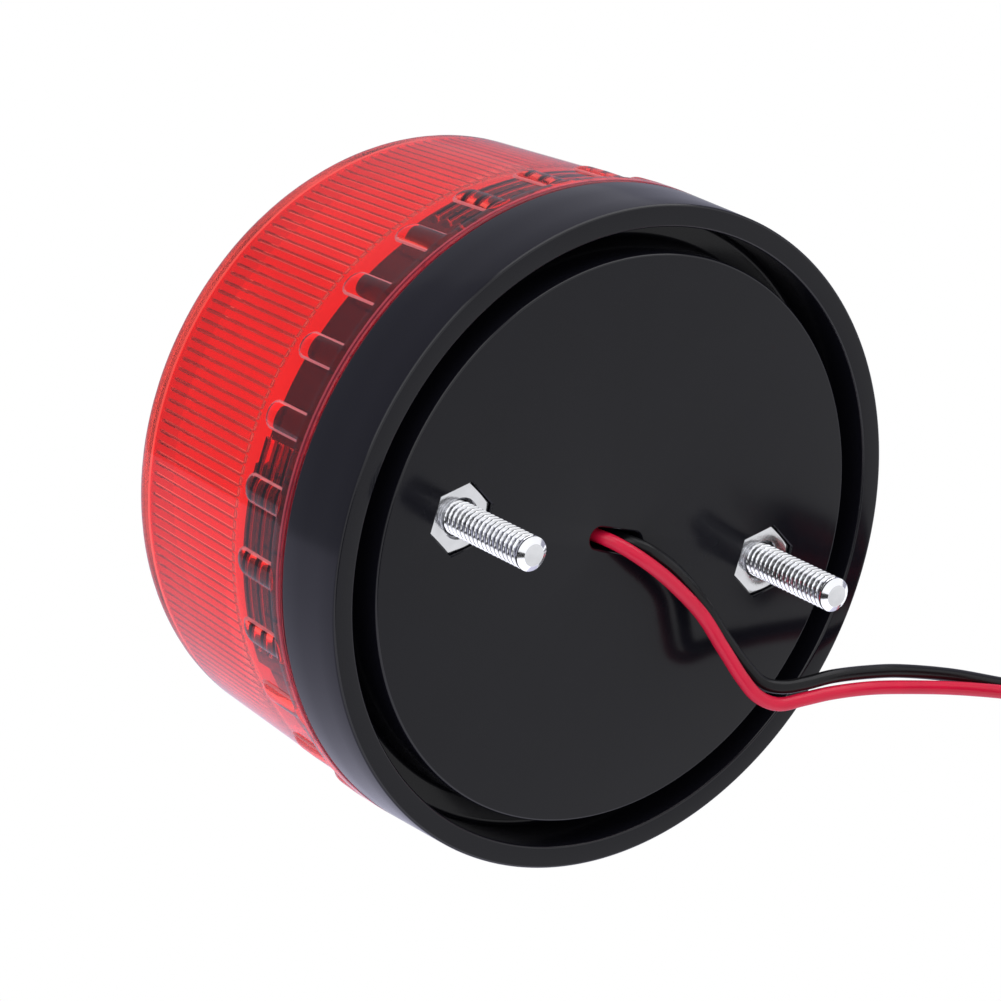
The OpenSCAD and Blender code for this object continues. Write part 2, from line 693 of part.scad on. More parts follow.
module lead_ends() {
    z = coil_w / 2 - lead_d / 2;
    color([0.8, 0.8, 0.82]) at_coil() rotate(-360 * coil_turns) for (k = [0, 1])
        translate([coil_r, 0, z - k * lead_step]) rotate([90, 0, 0])
            cylinder(d = bare_d, h = bare_l + coil_r / 2, $fn = 24);
}

base();
lens();
mounting_screws();
hex_nuts();
circuit_board();
board_screws();
flash_tube();
tube_pins();
trigger_wire();
trigger_transformer();
storage_capacitor();
film_capacitor();
transformer_core();
transformer_winding();
switching_transistor();
thyristor();
diodes();
resistors();
red_lead();
black_lead();
lead_coil();
lead_tie();
lead_ends();
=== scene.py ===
"""Looks of a round strobe beacon: ribbed red lens, black base, threaded studs, two flying leads."""
import logging
import math
from dataclasses import dataclass, replace
from enum import Enum
from functools import partial
from typing import Any, Callable, Optional, Sequence, Union

import bpy
import numpy as np
from bpy.types import Material, Mesh, Node, NodeOutputs, NodeSocket, NodeTree, Object
from mathutils import Matrix, Vector
from mathutils.geometry import delaunay_2d_cdt


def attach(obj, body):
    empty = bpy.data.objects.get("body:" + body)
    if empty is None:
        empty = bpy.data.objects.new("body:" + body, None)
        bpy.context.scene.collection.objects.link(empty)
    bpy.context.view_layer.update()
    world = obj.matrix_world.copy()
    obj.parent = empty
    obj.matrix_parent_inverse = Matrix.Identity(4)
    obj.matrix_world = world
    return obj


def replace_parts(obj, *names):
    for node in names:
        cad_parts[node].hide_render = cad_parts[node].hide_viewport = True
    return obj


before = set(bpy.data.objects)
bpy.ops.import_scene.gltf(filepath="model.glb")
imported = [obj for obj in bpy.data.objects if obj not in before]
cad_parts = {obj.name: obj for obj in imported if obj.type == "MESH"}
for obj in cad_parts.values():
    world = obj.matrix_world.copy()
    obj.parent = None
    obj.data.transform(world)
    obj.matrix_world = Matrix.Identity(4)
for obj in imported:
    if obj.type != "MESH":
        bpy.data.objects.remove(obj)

LOG = logging.getLogger("beacon")
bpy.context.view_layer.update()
MM = 0.001
TURN = 2 * math.pi
BASE_BODY = "base_unit"
LENS_BODY = "lens_cap"
WHITE = (1.0, 1.0, 1.0, 1.0)

Array = np.ndarray
Color = tuple[float, float, float]
Place = tuple[float, float, float]
Inputs = dict[Union[str, int], Any]


class Kind(Enum):
    """How a finish answers light."""

    PLASTIC = "plastic"
    METAL = "metal"
    CLEAR = "clear"


def smooth_step(x: Array) -> Array:
    """Rises from 0 to 1 as 3t^2 - 2t^3 while x goes from 0 to 1, and is flat outside."""
    t = np.clip(x, 0.0, 1.0)
    return t * t * (3 - 2 * t)


def arc(center: Sequence[float], radius: float, start: float, end: float, steps: int) -> Array:
    """Points of an arc of some chords: center + radius * (cos a, sin a), with its angles in degrees."""
    a = np.radians(np.linspace(start, end, steps + 1))
    return np.asarray(center, float) + radius * np.stack([np.cos(a), np.sin(a)], -1)


def spin(radius: Array, height: Array, angle: Array) -> Array:
    """Carries radii and heights of (rows, columns) round Z, as a grid of points (r cos a, r sin a, z)."""
    r, z, a = np.broadcast_arrays(radius, height, angle)
    return np.stack([r * np.cos(a), r * np.sin(a), z], -1)


def columns(count: int) -> Array:
    """Evenly spaced angles of a full turn, in radians."""
    return np.arange(count) * TURN / count


def turned(profile: Array, angle: Array) -> Array:
    """Carries a profile of (radius, height) points round Z, as a grid of points."""
    return spin(profile[:, :1], profile[:, 1:], angle)


def repeated(across: Array, count: int, first: float) -> Array:
    """Angles of columns that repeat across each of some equal parts of a turn, from a first angle."""
    return (first + np.arange(count)[:, None] * TURN / count + across).ravel()


def smooth_line(route: Array, steps: int) -> Array:
    """A smooth curve through a route: on each stretch the cubic that keeps the slope of its neighbours.

    Args:
        route: Points of (count, 3).
        steps: Number of chords on each stretch.

    Returns:
        The points of the curve.
    """
    p = np.concatenate([route[:1], route, route[-1:]])
    a, b, c, d = (p[k:len(p) - 3 + k, None] for k in range(4))
    t = (np.arange(steps) / steps)[None, :, None]
    q = 0.5 * (2 * b + (c - a) * t + (2 * a - 5 * b + 4 * c - d) * t**2 + (3 * b - a - 3 * c + d) * t**3)
    return np.concatenate([q.reshape(-1, 3), route[-1:]])


class Mesher:
    """Gathers grids, strips and flat faces into one mesh, in millimetres."""

    INSIDE_ONLY = 1
    MERGE = 1e-6

    def __init__(self) -> None:
        """Starts with no points and no faces."""
        self.points: list[Array] = []
        self.faces: list[Array] = []
        self.count = 0

    def add_points(self, points: Array) -> Array:
        """Keeps points and numbers them.

        Args:
            points: Points, with their axes last.

        Returns:
            Their numbers, in the same grid shape.
        """
        flat = points.reshape(-1, 3)
        numbers = np.arange(len(flat)) + self.count
        self.points.append(flat)
        self.count += len(flat)
        return numbers.reshape(points.shape[:-1])

    def grid(self, points: Array, ring: bool = True, loop: bool = False) -> Array:
        """Joins a grid of points with quads that face along (column step) x (row step).

        Args:
            points: A grid of (rows, columns, 3) points.
            ring: The last column joins the first.
            loop: The last row joins the first.

        Returns:
            The numbers of the points, as (rows, columns).
        """
        n = self.add_points(points)
        rows = np.concatenate([n, n[:1]]) if loop else n
        cols = np.concatenate([rows, rows[:, :1]], 1) if ring else rows
        corners = [cols[:-1, :-1], cols[:-1, 1:], cols[1:, 1:], cols[1:, :-1]]
        self.faces.append(np.stack(corners, -1).reshape(-1, 4))
        return n

    def close(self, row: Array, apex: Sequence[float], after: bool) -> None:
        """Closes a ring of points with a fan.

        Args:
            row: Numbers of the ring.
            apex: The point in the middle.
            after: The apex follows the ring in row order, and doesn't lead it.
        """
        tip = np.full(len(row), self.add_points(np.array([apex], float))[0])
        following = np.roll(row, -1)
        fan = [row, following, tip] if after else [following, row, tip]
        self.faces.append(np.stack(fan, -1))

    def stitch(self, lower: Array, upper: Array) -> None:
        """Joins two rings with different numbers of points, each sorted by its angle about Z.

        Both rings are walked together by angle, and each step adds one triangle.

        Args:
            lower: Numbers of the ring that comes first in row order.
            upper: Numbers of the ring that follows.
        """
        xyz = np.concatenate(self.points)

        def by_angle(ring: Array) -> tuple[Array, Array]:
            """Puts a ring in order of angle.

            Args:
                ring: Numbers of the ring's points.

            Returns:
                The numbers and the angles.
            """
            a = np.mod(np.arctan2(xyz[ring, 1], xyz[ring, 0]), TURN)
            order = np.argsort(a)
            return ring[order], a[order]

        low, low_a = by_angle(lower)
        up, up_a = by_angle(upper)
        order = np.argsort(np.concatenate([low_a, up_a]), kind="stable")
        is_low = order < len(low)
        i = np.cumsum(is_low) - 1
        j = np.cumsum(~is_low) - 1
        low_step = np.stack([low[i - 1], low[i], up[j]], -1)
        up_step = np.stack([low[i], up[j], up[j - 1]], -1)
        self.faces.append(np.where(is_low[:, None], low_step, up_step))

    def flat(self, outer: Array, holes: Sequence[Array], up: bool) -> None:
        """Fills a flat outline, holes left open, with triangles between the points of the rings.

        Args:
            outer: Numbers of the outline's points, in order.
            holes: Numbers of each hole's points, in order.
            up: The face looks along +Z, and not along -Z.
        """
        xyz = np.concatenate(self.points)
        rings = [outer, *holes]
        numbers = np.concatenate(rings)
        starts = np.cumsum([0] + [len(r) for r in rings])
        edges = np.concatenate([np.stack([np.arange(a, b), np.roll(np.arange(a, b), -1)], -1)
                                for a, b in zip(starts[:-1], starts[1:])])
        flat = xyz[numbers, :2]
        made = delaunay_2d_cdt([Vector(p) for p in flat], edges.tolist(), [], self.INSIDE_ONLY, self.MERGE)
        source = np.array([s[0] for s in made[3]])
        triangles = source[np.array(made[2])]
        middle = flat[triangles].mean(1)
        keep = inside(middle, flat[:len(outer)])
        for a, b in zip(starts[1:-1], starts[2:]):
            keep &= ~inside(middle, flat[a:b])
        triangles = triangles[keep]
        p = flat[triangles]
        e, f = p[:, 1] - p[:, 0], p[:, 2] - p[:, 0]
        wrong = (e[:, 0] * f[:, 1] - e[:, 1] * f[:, 0] > 0) != up
        triangles[wrong] = triangles[wrong][:, ::-1]
        self.faces.append(numbers[triangles])

    def build(self, name: str, sharp: float = 32.0, shade: Optional[Array] = None) -> Object:
        """Makes the object, smooth except where faces meet at more than an angle.

        Args:
            name: Name of the object and its mesh.
            sharp: That angle, in degrees.
            shade: Painted shade of each point, how dark it is, kept as the attribute "shade".

        Returns:
            The object, linked to the scene.
        """
        sizes = np.concatenate([np.full(len(f), f.shape[1]) for f in self.faces])
        loops = np.concatenate([f.ravel() for f in self.faces])
        mesh = bpy.data.meshes.new(name)
        mesh.vertices.add(self.count)
        mesh.vertices.foreach_set("co", (np.concatenate(self.points) * MM).ravel())
        mesh.loops.add(len(loops))
        mesh.loops.foreach_set("vertex_index", loops)
        mesh.polygons.add(len(sizes))
        mesh.polygons.foreach_set("loop_start", np.cumsum(sizes) - sizes)
        mesh.update(calc_edges=True)
        mesh.polygons.foreach_set("use_smooth", np.ones(len(sizes), bool))
        mesh.set_sharp_from_angle(angle=math.radians(sharp))
        if shade is not None:
            mesh.attributes.new("shade", "FLOAT", "POINT").data.foreach_set("value", shade.astype(np.float32))
        obj = bpy.data.objects.new(name, mesh)
        bpy.context.scene.collection.objects.link(obj)
        return obj


def inside(points: Array, outline: Array) -> Array:
    """Tells which points lie in a closed outline, by the parity of the edges to their right.

    Args:
        points: Points of (count, 2).
        outline: Corners of (count, 2), in order.

    Returns:
        True for each point inside.
    """
    x, y = points[:, None, 0], points[:, None, 1]
    a, b = outline[None], np.roll(outline, -1, 0)[None]
    spans = (a[..., 1] > y) != (b[..., 1] > y)
    with np.errstate(divide="ignore", invalid="ignore"):
        cut = a[..., 0] + (y - a[..., 1]) * (b[..., 0] - a[..., 0]) / (b[..., 1] - a[..., 1])
    return (spans & (x < cut)).sum(1) % 2 == 1


def face_vectors(mesh: Mesh, name: str) -> Array:
    """The center or the normal of every face, as (faces, 3).

    Args:
        mesh: The mesh.
        name: What is read: center or normal.

    Returns:
        An array of (faces, 3).
    """
    values = np.empty(3 * len(mesh.polygons), np.float32)
    mesh.polygons.foreach_get(name, values)
    return values.reshape(-1, 3)


def feed(tree: NodeTree, node: Node, inputs: Inputs) -> None:
    """Feeds inputs of a node, given by name or number, with values or with links from other nodes.

    Args:
        tree: The tree of the node.
        node: The node.
        inputs: What each input gets.
    """
    for key, value in inputs.items():
        if isinstance(value, NodeSocket):
            tree.links.new(value, node.inputs[key])
        else:
            node.inputs[key].default_value = value


def put(tree: NodeTree, kind: str, inputs: Inputs, **settings: Any) -> NodeOutputs:
    """Adds a shader node with its settings, and feeds its inputs.

    Args:
        tree: The tree that it goes into.
        kind: Its type, without the leading ShaderNode.
        inputs: What its inputs are fed with.
        settings: Its own settings, such as the operation of a Math node.

    Returns:
        Its outputs.
    """
    node = tree.nodes.new("ShaderNode" + kind)
    for key, value in settings.items():
        setattr(node, key, value)
    feed(tree, node, inputs)
    return node.outputs


class Shading:
    """The shared shader node group, built once."""

    FINER = 9.0
    DETAIL = 3.0
    SPREAD: Inputs = {"From Min": 0.3, "From Max": 0.7, "To Min": -1.0, "To Max": 1.0}
    SOCKETS = (("Vector", "INPUT", "Vector"), ("Scale", "INPUT", "Float"), ("Amount", "INPUT", "Float"),
               ("Shade", "OUTPUT", "Float"), ("Gloss", "OUTPUT", "Float"), ("Height", "OUTPUT", "Float"))

    @classmethod
    def moulded(cls) -> NodeTree:
        """A moulded or plated skin: slow and fine noise that vary its shade, gloss and height.

        Returns:
            A group with inputs Vector, Scale and Amount and outputs Shade, Gloss and Height.
        """
        found = bpy.data.node_groups.get("moulded_skin")
        if found:
            return found
        tree = bpy.data.node_groups.new("moulded_skin", "ShaderNodeTree")
        for name, way, kind in cls.SOCKETS:
            tree.interface.new_socket(name, in_out=way, socket_type="NodeSocket" + kind)
        start, end = tree.nodes.new("NodeGroupInput").outputs, tree.nodes.new("NodeGroupOutput")
        finer = put(tree, "Math", {0: start["Scale"], 1: cls.FINER}, operation="MULTIPLY")
        for scale, target in ((start["Scale"], "Shade"), (finer[0], "Gloss")):
            noise = put(tree, "TexNoise", {"Vector": start["Vector"], "Scale": scale, "Detail": cls.DETAIL})
            spread = put(tree, "MapRange", {"Value": noise["Fac"], **cls.SPREAD})
            shift = put(tree, "Math", {0: spread["Result"], 1: start["Amount"]}, operation="MULTIPLY")
            feed(tree, end, {target: shift[0]})
        feed(tree, end, {"Height": noise["Fac"]})
        return tree


@dataclass(frozen=True)
class Finish:
    """One surface finish.

    Attributes:
        name: Name of the material.
        slot: Slot of the record that it stands for; not used.
        color: Base colour, linear.
        roughness: Mean roughness.
        kind: Plastic, metal or clear.
        scale: Scale of the skin's noise, per metre.
        amount: How far the noise shifts shade and gloss.
        bump: Depth of the fine noise, in millimetres.
        ior: Index of refraction.
        shaded: How far the attribute "shade", which holds painted shade, darkens the colour.
        clarity: How much of the light a clear finish lets through; the rest scatters.
    """

    name: str
    slot: str
    color: Color
    roughness: float
    kind: Kind = Kind.PLASTIC
    scale: float = 120.0
    amount: float = 0.05
    bump: float = 0.0
    ior: float = 1.5
    shaded: float = 0.0
    clarity: float = 1.0

    def material(self) -> Material:
        """Builds the material, once.

        Returns:
            The material.
        """
        found = bpy.data.materials.get(self.name)
        if found:
            return found
        mat = bpy.data.materials.new(self.name)
        mat.use_nodes = True
        tree = mat.node_tree
        place = put(tree, "TexCoord", {})["Object"]
        skin = put(tree, "Group", {"Vector": place, "Scale": self.scale, "Amount": self.amount},
                   node_tree=Shading.moulded())
        bright: Any = 1.0
        # Painted shade from the attribute shade darkens the colour.
        if self.shaded:
            mark = put(tree, "Attribute", {}, attribute_name="shade")["Fac"]
            bright = put(tree, "Math", {0: mark, 1: -self.shaded, 2: 1.0}, operation="MULTIPLY_ADD")[0]
        value = put(tree, "Math", {0: skin["Shade"], 1: bright}, operation="ADD")[0]
        shade = put(tree, "HueSaturation", {"Color": (*self.color, 1.0), "Value": value})["Color"]
        rough = put(tree, "Math", {0: skin["Gloss"], 1: self.roughness, 2: self.roughness},
                    operation="MULTIPLY_ADD", use_clamp=True)[0]
        inputs: Inputs = {"Base Color": shade, "Roughness": rough, "IOR": self.ior,
                          "Metallic": float(self.kind is Kind.METAL),
                          "Transmission Weight": self.clarity * float(self.kind is Kind.CLEAR)}
        if self.bump:
            grain = put(tree, "Bump", {"Distance": self.bump * MM, "Height": skin["Height"]})
            inputs["Normal"] = grain["Normal"]
        feed(tree, tree.nodes["Principled BSDF"], inputs)
        return mat

    def dress(self, obj: Object) -> Object:
        """Gives an object this finish alone.

        Args:
            obj: The object.

        Returns:
            The same object.
        """
        obj.data.materials.clear()
        obj.data.materials.append(self.material())
        return obj


def paint(mesh: Mesh, finishes: Sequence[Finish], index: Array) -> None:
    """Adds finishes to a dressed mesh, and gives each face the one of its number.

    Args:
        mesh: The mesh.
        finishes: Finishes 1, 2 and so on; its own is 0.
        index: The number for each face.
    """
    for finish in finishes:
        mesh.materials.append(finish.material())
    mesh.polygons.foreach_set("material_index", index.astype(np.int32))


BLACK_PLASTIC = Finish("black moulded plastic", "black_plastic", (0.006, 0.006, 0.009), 0.15, amount=0.06,
                       bump=0.001, ior=1.4)
# Painted shade: the same black plastic with a lower IOR, which dims the reflection of faces that look down.
BLACK_UNDERSIDE_DIMMED = replace(BLACK_PLASTIC, name="black moulded underside, dimmed reflection", ior=1.29)
# Clear red lens; its shaded setting puts painted shade in the grooves between the inside flutes.
RED_LENS = Finish("clear red lens", "red_lens", (0.98, 0.078, 0.058), 0.04, Kind.CLEAR, amount=0.02, ior=1.45,
                  shaded=0.88)
# Painted shade: a darker red for the ring under the top of the lens.
RED_RIM_SHADE = replace(RED_LENS, name="clear red rim with painted shade", color=(0.74, 0.05, 0.05), roughness=0.12, ior=1.5,
                  shaded=0.0)
# Painted highlight: a paler, cloudier red for the lug outlines and ridge edges.
RED_EDGE_HIGHLIGHT = replace(RED_RIM_SHADE, name="red lens painted edge highlight", color=(0.85, 0.24, 0.26), roughness=0.25, clarity=0.4)
# Painted highlight: a pale red line on the flange just above its foot.
RED_LINE_HIGHLIGHT = replace(RED_RIM_SHADE, name="red lens painted highlight line", color=(0.75, 0.1, 0.14), roughness=0.2, ior=1.45,
                   clarity=0.6)
# Painted shade: a dark, cloudy red on the lowest band of the flange.
RED_FOOT_SHADE = replace(RED_LINE_HIGHLIGHT, name="red lens foot painted shade", color=(0.25, 0.007, 0.025), ior=1.4, clarity=0.5)
ZINC = Finish("zinc plated steel", "zinc_steel", (0.93, 0.94, 0.96), 0.14, Kind.METAL, scale=500.0,
              amount=0.06, bump=0.002)
# The thread and nut finishes darken by the attribute shade, which holds painted shade.
THREAD = replace(ZINC, name="zinc plated thread", shaded=1.0)
NUT_ZINC = replace(THREAD, name="zinc plated nut", color=(0.65, 0.655, 0.67))
RED_PVC = Finish("red lead insulation", "red_insulation", (0.74, 0.01, 0.052), 0.26, ior=1.38, scale=300.0,
                 bump=0.004)
BLACK_PVC = replace(RED_PVC, name="black lead insulation", slot="black_insulation",
                    color=(0.007, 0.007, 0.008), roughness=0.24, ior=1.3)
TINNED = Finish("tinned wire", "wire_metal", (0.78, 0.77, 0.74), 0.25, Kind.METAL, scale=600.0)
BOARD = Finish("board lacquer", "board", (0.03, 0.16, 0.06), 0.3, scale=300.0, amount=0.15)
TUBE_GLASS = Finish("flash tube glass", "tube_glass", (0.95, 0.97, 1.0), 0.02, Kind.CLEAR, amount=0.0,
                    ior=1.47)
WINDING = Finish("winding tape", "winding", (0.62, 0.36, 0.08), 0.4, scale=400.0, amount=0.15)
SLEEVE = Finish("capacitor sleeve", "capacitor_sleeve", (0.02, 0.03, 0.14), 0.25, scale=200.0)
DIPPED = Finish("dipped coating", "film_coating", (0.38, 0.06, 0.015), 0.25, scale=200.0)
FERRITE = Finish("ferrite", "ferrite", (0.03, 0.03, 0.033), 0.7, scale=700.0, amount=0.3, bump=0.02)
PACKAGE = Finish("black package", "package_black", (0.015, 0.015, 0.017), 0.5, scale=600.0, amount=0.1)
RESISTOR = Finish("resistor lacquer", "resistor_body", (0.55, 0.38, 0.18), 0.35, scale=400.0, amount=0.1)


# Where rows lie across an eased edge, as shares of its slope.
EASE_ROWS = np.array([1, 0.8, 0.55, 0.2, -0.2, -0.55, -0.8, -1])


@dataclass
class TwistLock:
    """The interrupted ridges that hold the lens on the neck.

    Attributes:
        sectors: Number of sectors in a turn.
        sweep: Sweep of a sector, in degrees.
        neck_start: Angle at which the neck's first sector starts.
        stop: Sweep of the stop rib.
        slack: Angle between the stop rib and the lens sector at rest.
        pitch: Spacing of the ridges.
        proud: How far a ridge stands out.
        slope: Half of what the root is thicker than the middle.
        top: Height of the neck's top ridge.
        rows: Ridges on a neck sector.
        ease: Angle over which a ridge fades in at each end of its sector.
        margin: Distance from a ridge to the first plain row of its wall.
    """

    sectors: int = 4
    sweep: float = 40.0
    neck_start: float = 48.4
    stop: float = 4.0
    slack: float = 0.8
    pitch: float = 2.15
    proud: float = 1.6
    slope: float = 0.2
    top: float = 18.65
    rows: int = 4
    ease: float = 0.6
    margin: float = 0.1

    def part(self) -> float:
        """Angle from one sector to the next, in degrees."""
        return 360 / self.sectors

    def lens_start(self) -> float:
        """Angle at which the first sector of the lens starts."""
        return self.neck_start + self.stop + self.slack

    def on_sector(self, angle: Array, start: float, sweep: float) -> Array:
        """1 inside the sectors and 0 outside, with an eased edge inside each end."""
        a = np.mod(np.degrees(angle) - start, self.part())
        return smooth_step(a / self.ease) * smooth_step((sweep - a) / self.ease)

    def ridge(self, height: Array, centers: Array, thick: float) -> Array:
        """Depth of ridges at a height: 1 on the crest, easing to 0 at the root by 3t^2 - 2t^3."""
        away = np.abs(height[..., None] - centers).min(-1)
        return smooth_step((thick / 2 + self.slope - away) / (2 * self.slope))

    def levels(self, centers: Array, thick: float) -> Array:
        """Heights at which a wall needs rows to show its ridges, from low to high.

        Args:
            centers: Heights of the ridges.
            thick: Thickness of a ridge.

        Returns:
            The heights.
        """
        half = thick / 2 + self.slope * EASE_ROWS
        plain = half[0] + self.margin
        steps = np.concatenate([[-plain], -half, half[::-1], [plain]])
        return np.sort((centers[:, None] + steps).ravel())

    def neck_centers(self) -> Array:
        """Heights of the ridges on the neck."""
        return self.top - np.arange(self.rows) * self.pitch

    def lens_centers(self) -> Array:
        """Heights of the ridges in the lens, halfway between those of the neck."""
        return self.top - (np.arange(self.rows - 1) + 0.5) * self.pitch


# Columns across a flute and across half a lug, as shares of their widths. Rows up a lug, as heights over the
# flange, and rows of the dome, as shares of its radius.
FLUTE_COLUMNS = np.array([0.0, 0.05, 0.085, 0.12, 0.16, 0.3, 0.5, 0.7, 0.84, 0.88, 0.915, 0.95])
LUG_COLUMNS = np.array([0.12, 0.35, 0.55, 0.7, 0.8, 0.87, 0.92, 0.96, 0.985, 1.0, 1.05, 1.2, 2.0])
LUG_ROWS = np.array([0.15, 0.5, 1.5, 3, 4.5])
DOME_ROWS = np.linspace(0.9, 0.05, 6)


@dataclass
class Lens:
    """The red lens: flange, grip lugs, tapered wall, crowned top, inside flutes and lock ridges."""

    lock: TwistLock
    seat_z: float = 9.25
    flange_top: float = 11.05
    flange_r: float = 36.0
    flange_edge: float = 0.12
    ledge_rise: float = 0.02
    foot_r: float = 35.55
    foot_round: float = 0.3
    foot_h: float = 0.5
    foot_line: float = 0.3
    bore_r: float = 32.75
    bore_top: float = 19.7
    bore_columns: int = 40
    bore_foot: tuple[float, float] = (0.001, 1.0)
    draft: float = 2.2
    top_z: float = 39.6
    top_columns: int = 360
    shoulder_r: float = 2.5
    dome_h: float = 0.999
    wall: float = 2.2
    top_wall: float = 1.6
    step_z: float = 20.0
    lugs: int = 28
    lug_w: float = 3.0
    lug_h: float = 6.9
    lug_proud: float = 0.55
    lug_rise: float = 3.0
    lug_phase: float = 7.4
    lug_row: float = 0.1
    lug_past: float = 0.35
    lug_clear: float = 0.6
    # Where the painted highlight lines round the lugs lie.
    lug_line: float = 0.95
    lug_line_w: float = 0.11
    flutes: int = 180
    flute_depth: float = 0.2
    flute_phase: float = 0.69
    flute_low: float = 20.9
    flute_high: float = 36.2
    flute_end: float = 0.8
    flute_gap: float = 0.1
    groove: float = 0.05
    groove_side: float = 0.11
    # Half width and easing of the painted shade in the middle of each groove between flutes.
    dark: float = 0.09
    painted_shade_side: float = 0.12
    inner_fillet: float = 1.0
    ridge_t: float = 0.6
    # Which ridge faces get the painted highlight.
    ridge_crest: float = 0.7
    ridge_gap: float = 0.5
    # Where the ring of painted shade under the top lies.
    rim_r: float = 26.5
    rim_band: float = 0.1
    rim_facing: float = -0.5
    skin_in: float = 1.5

    def wall_r(self, z: Array) -> Array:
        """Outside radius of the tapered wall at a height."""
        return self.foot_r - self.draft * (z - self.flange_top) / (self.top_z - self.flange_top)

    def hollow_r(self, z: Array) -> Array:
        """Inside radius of the wall, which thins from its full thickness at the step to that of the top."""
        thinned = (self.wall - self.top_wall) * (z - self.step_z) / (self.top_z - self.step_z)
        return self.wall_r(z) - self.wall + thinned

    def flute_angles(self) -> Array:
        """Angles of the fluted columns, close together at the narrow grooves between flutes."""
        return repeated(FLUTE_COLUMNS * TURN / self.flutes, self.flutes, math.radians(self.flute_phase))

    def lug_angles(self) -> Array:
        """Angles of the outer columns, close together at the sides of each lug.

        Returns:
            Angles in radians.
        """
        half = self.lug_w / 2 * LUG_COLUMNS
        across = np.concatenate([-half[::-1], half]) / self.foot_r
        return repeated(across, self.lugs, math.radians(self.lug_phase))

    def lug_reach(self, angle: Array, z: Array) -> Array:
        """Distance from the middle line of the nearest lug, 1 on the lug's outline, which has a round tip.

        Args:
            angle: Angles, in radians.
            z: Heights that broadcast with them.

        Returns:
            Distances, as shares of half a lug's width.
        """
        pitch = TURN / self.lugs
        off = np.mod(angle - math.radians(self.lug_phase) + pitch / 2, pitch) - pitch / 2
        over = np.maximum(z - (self.flange_top + self.lug_h - self.lug_w / 2), 0)
        return np.hypot(off * self.foot_r, over) / (self.lug_w / 2)

    def lug_bump(self, angle: Array, z: Array) -> Array:
        """Height of the lugs over the wall.

        A lug is a rounded tongue. Its height is (1 - t^2)^0.6 of the full height at the distance t from its
        middle line, and the full height eases from that of the flange at the foot to the lug's own.

        Args:
            angle: Angles of the columns, in radians.
            z: Heights of the rows, as a column.

        Returns:
            Heights of (rows, columns).
        """
        foot = self.flange_r - self.foot_r
        proud = foot + (self.lug_proud - foot) * smooth_step((z - self.flange_top) / self.lug_rise)
        return proud * np.clip(1 - self.lug_reach(angle, z) ** 2, 0, 1) ** 0.6

    def outer_rows(self, angle: Array) -> Array:
        """Grid of the outside, from the foot of the bore over the flange and the wall to the crown.

        Args:
            angle: Angles of the columns, in radians.

        Returns:
            A grid of (rows, columns, 3) points.
        """
        tip, step = self.flange_top + self.lug_h, self.lug_row
        tips = np.arange(tip - self.lug_w / 2 - step, tip + self.lug_past, step)
        lug_z = np.concatenate([LUG_ROWS + self.flange_top, tips])[:, None]
        share = self.lug_bump(angle, np.array([[self.flange_top]])) / (self.flange_r - self.foot_r)
        edge, k = self.flange_edge, self.foot_round
        lines = [[self.flange_r, self.seat_z + self.foot_h + up] for up in (0, self.foot_line)]
        foot = np.concatenate([[[self.bore_r, self.seat_z]],
                               arc((self.flange_r - k, self.seat_z + k), k, -90, 0, 4), lines])
        rows = [turned(foot, angle)]
        for inward, down in ((0, 1), (0.3, 0.3), (1, 0)):
            inset = edge * (1 - share) * inward
            rows.append(spin(self.flange_r - inset, self.flange_top - edge * down, angle[None]))
        inner = self.wall_r(self.flange_top) + edge
        ledge = inner + (self.flange_r - inner) * share
        rows.append(spin(ledge, self.flange_top + self.ledge_rise, angle[None]))
        rows.append(spin(self.wall_r(lug_z) + self.lug_bump(angle, lug_z), lug_z, angle))
        rows.append(turned(self.crown(self.shoulder_r, self.wall_r, 0.0, tip + self.lug_clear), angle))
        return np.concatenate(rows)

    def crown(self, fillet: float, side_r: Callable[[Array], Array], inset: float,
              start: float) -> Array:
        """Profile of the wall from a height, over the shoulder, to near the axis.

        Args:
            fillet: Radius of the shoulder.
            side_r: Radius of the wall at a height.
            inset: Distance of the top inside the outer skin.
            start: Height of the first point.

        Returns:
            Points of (count, 2), from the wall to the middle.
        """
        tilt = math.atan(side_r(0.0) - side_r(1.0))
        zc = self.top_z - inset - fillet
        rc = side_r(zc + fillet * math.sin(tilt)) - fillet * math.cos(tilt)
        z = np.linspace(start, zc, 5)
        side = np.stack([side_r(z), z], -1)
        top = np.stack([rc * DOME_ROWS, self.top_z - inset + self.dome_h * (1 - DOME_ROWS**2)], -1)
        return np.concatenate([side, arc((rc, zc), fillet, math.degrees(tilt), 90, 8), top])

    def flute_rows(self, angle: Array) -> tuple[Array, Array]:
        """Grid of the fluted inside, from high to low, and the painted shade that darkens each groove.

        A flute has a flat face. It eases down to the grooves beside it by 3t^2 - 2t^3, and to nothing past
        its ends.

        Args:
            angle: Angles of the columns, in radians.

        Returns:
            The grid, and for each point its painted shade: 1 in a groove and 0 on a flute.
        """
        ends = self.flute_end * np.linspace(1, 0, 5)
        between = np.linspace(self.flute_high, self.flute_low, 6)[1:-1]
        z = np.concatenate([self.flute_high + ends, between, self.flute_low - ends[::-1]])[:, None]
        u = np.mod((angle - math.radians(self.flute_phase)) * self.flutes / TURN + 0.5, 1.0) - 0.5
        past = np.maximum(np.maximum(z - self.flute_high, self.flute_low - z), 0) / self.flute_end
        rise, full = smooth_step((np.abs(u) - self.groove) / self.groove_side), smooth_step(1 - past)
        dark = (1 - smooth_step((np.abs(u) - self.dark) / self.painted_shade_side)) * full
        return spin(self.hollow_r(z) - self.flute_depth * rise * full, z, angle), dark

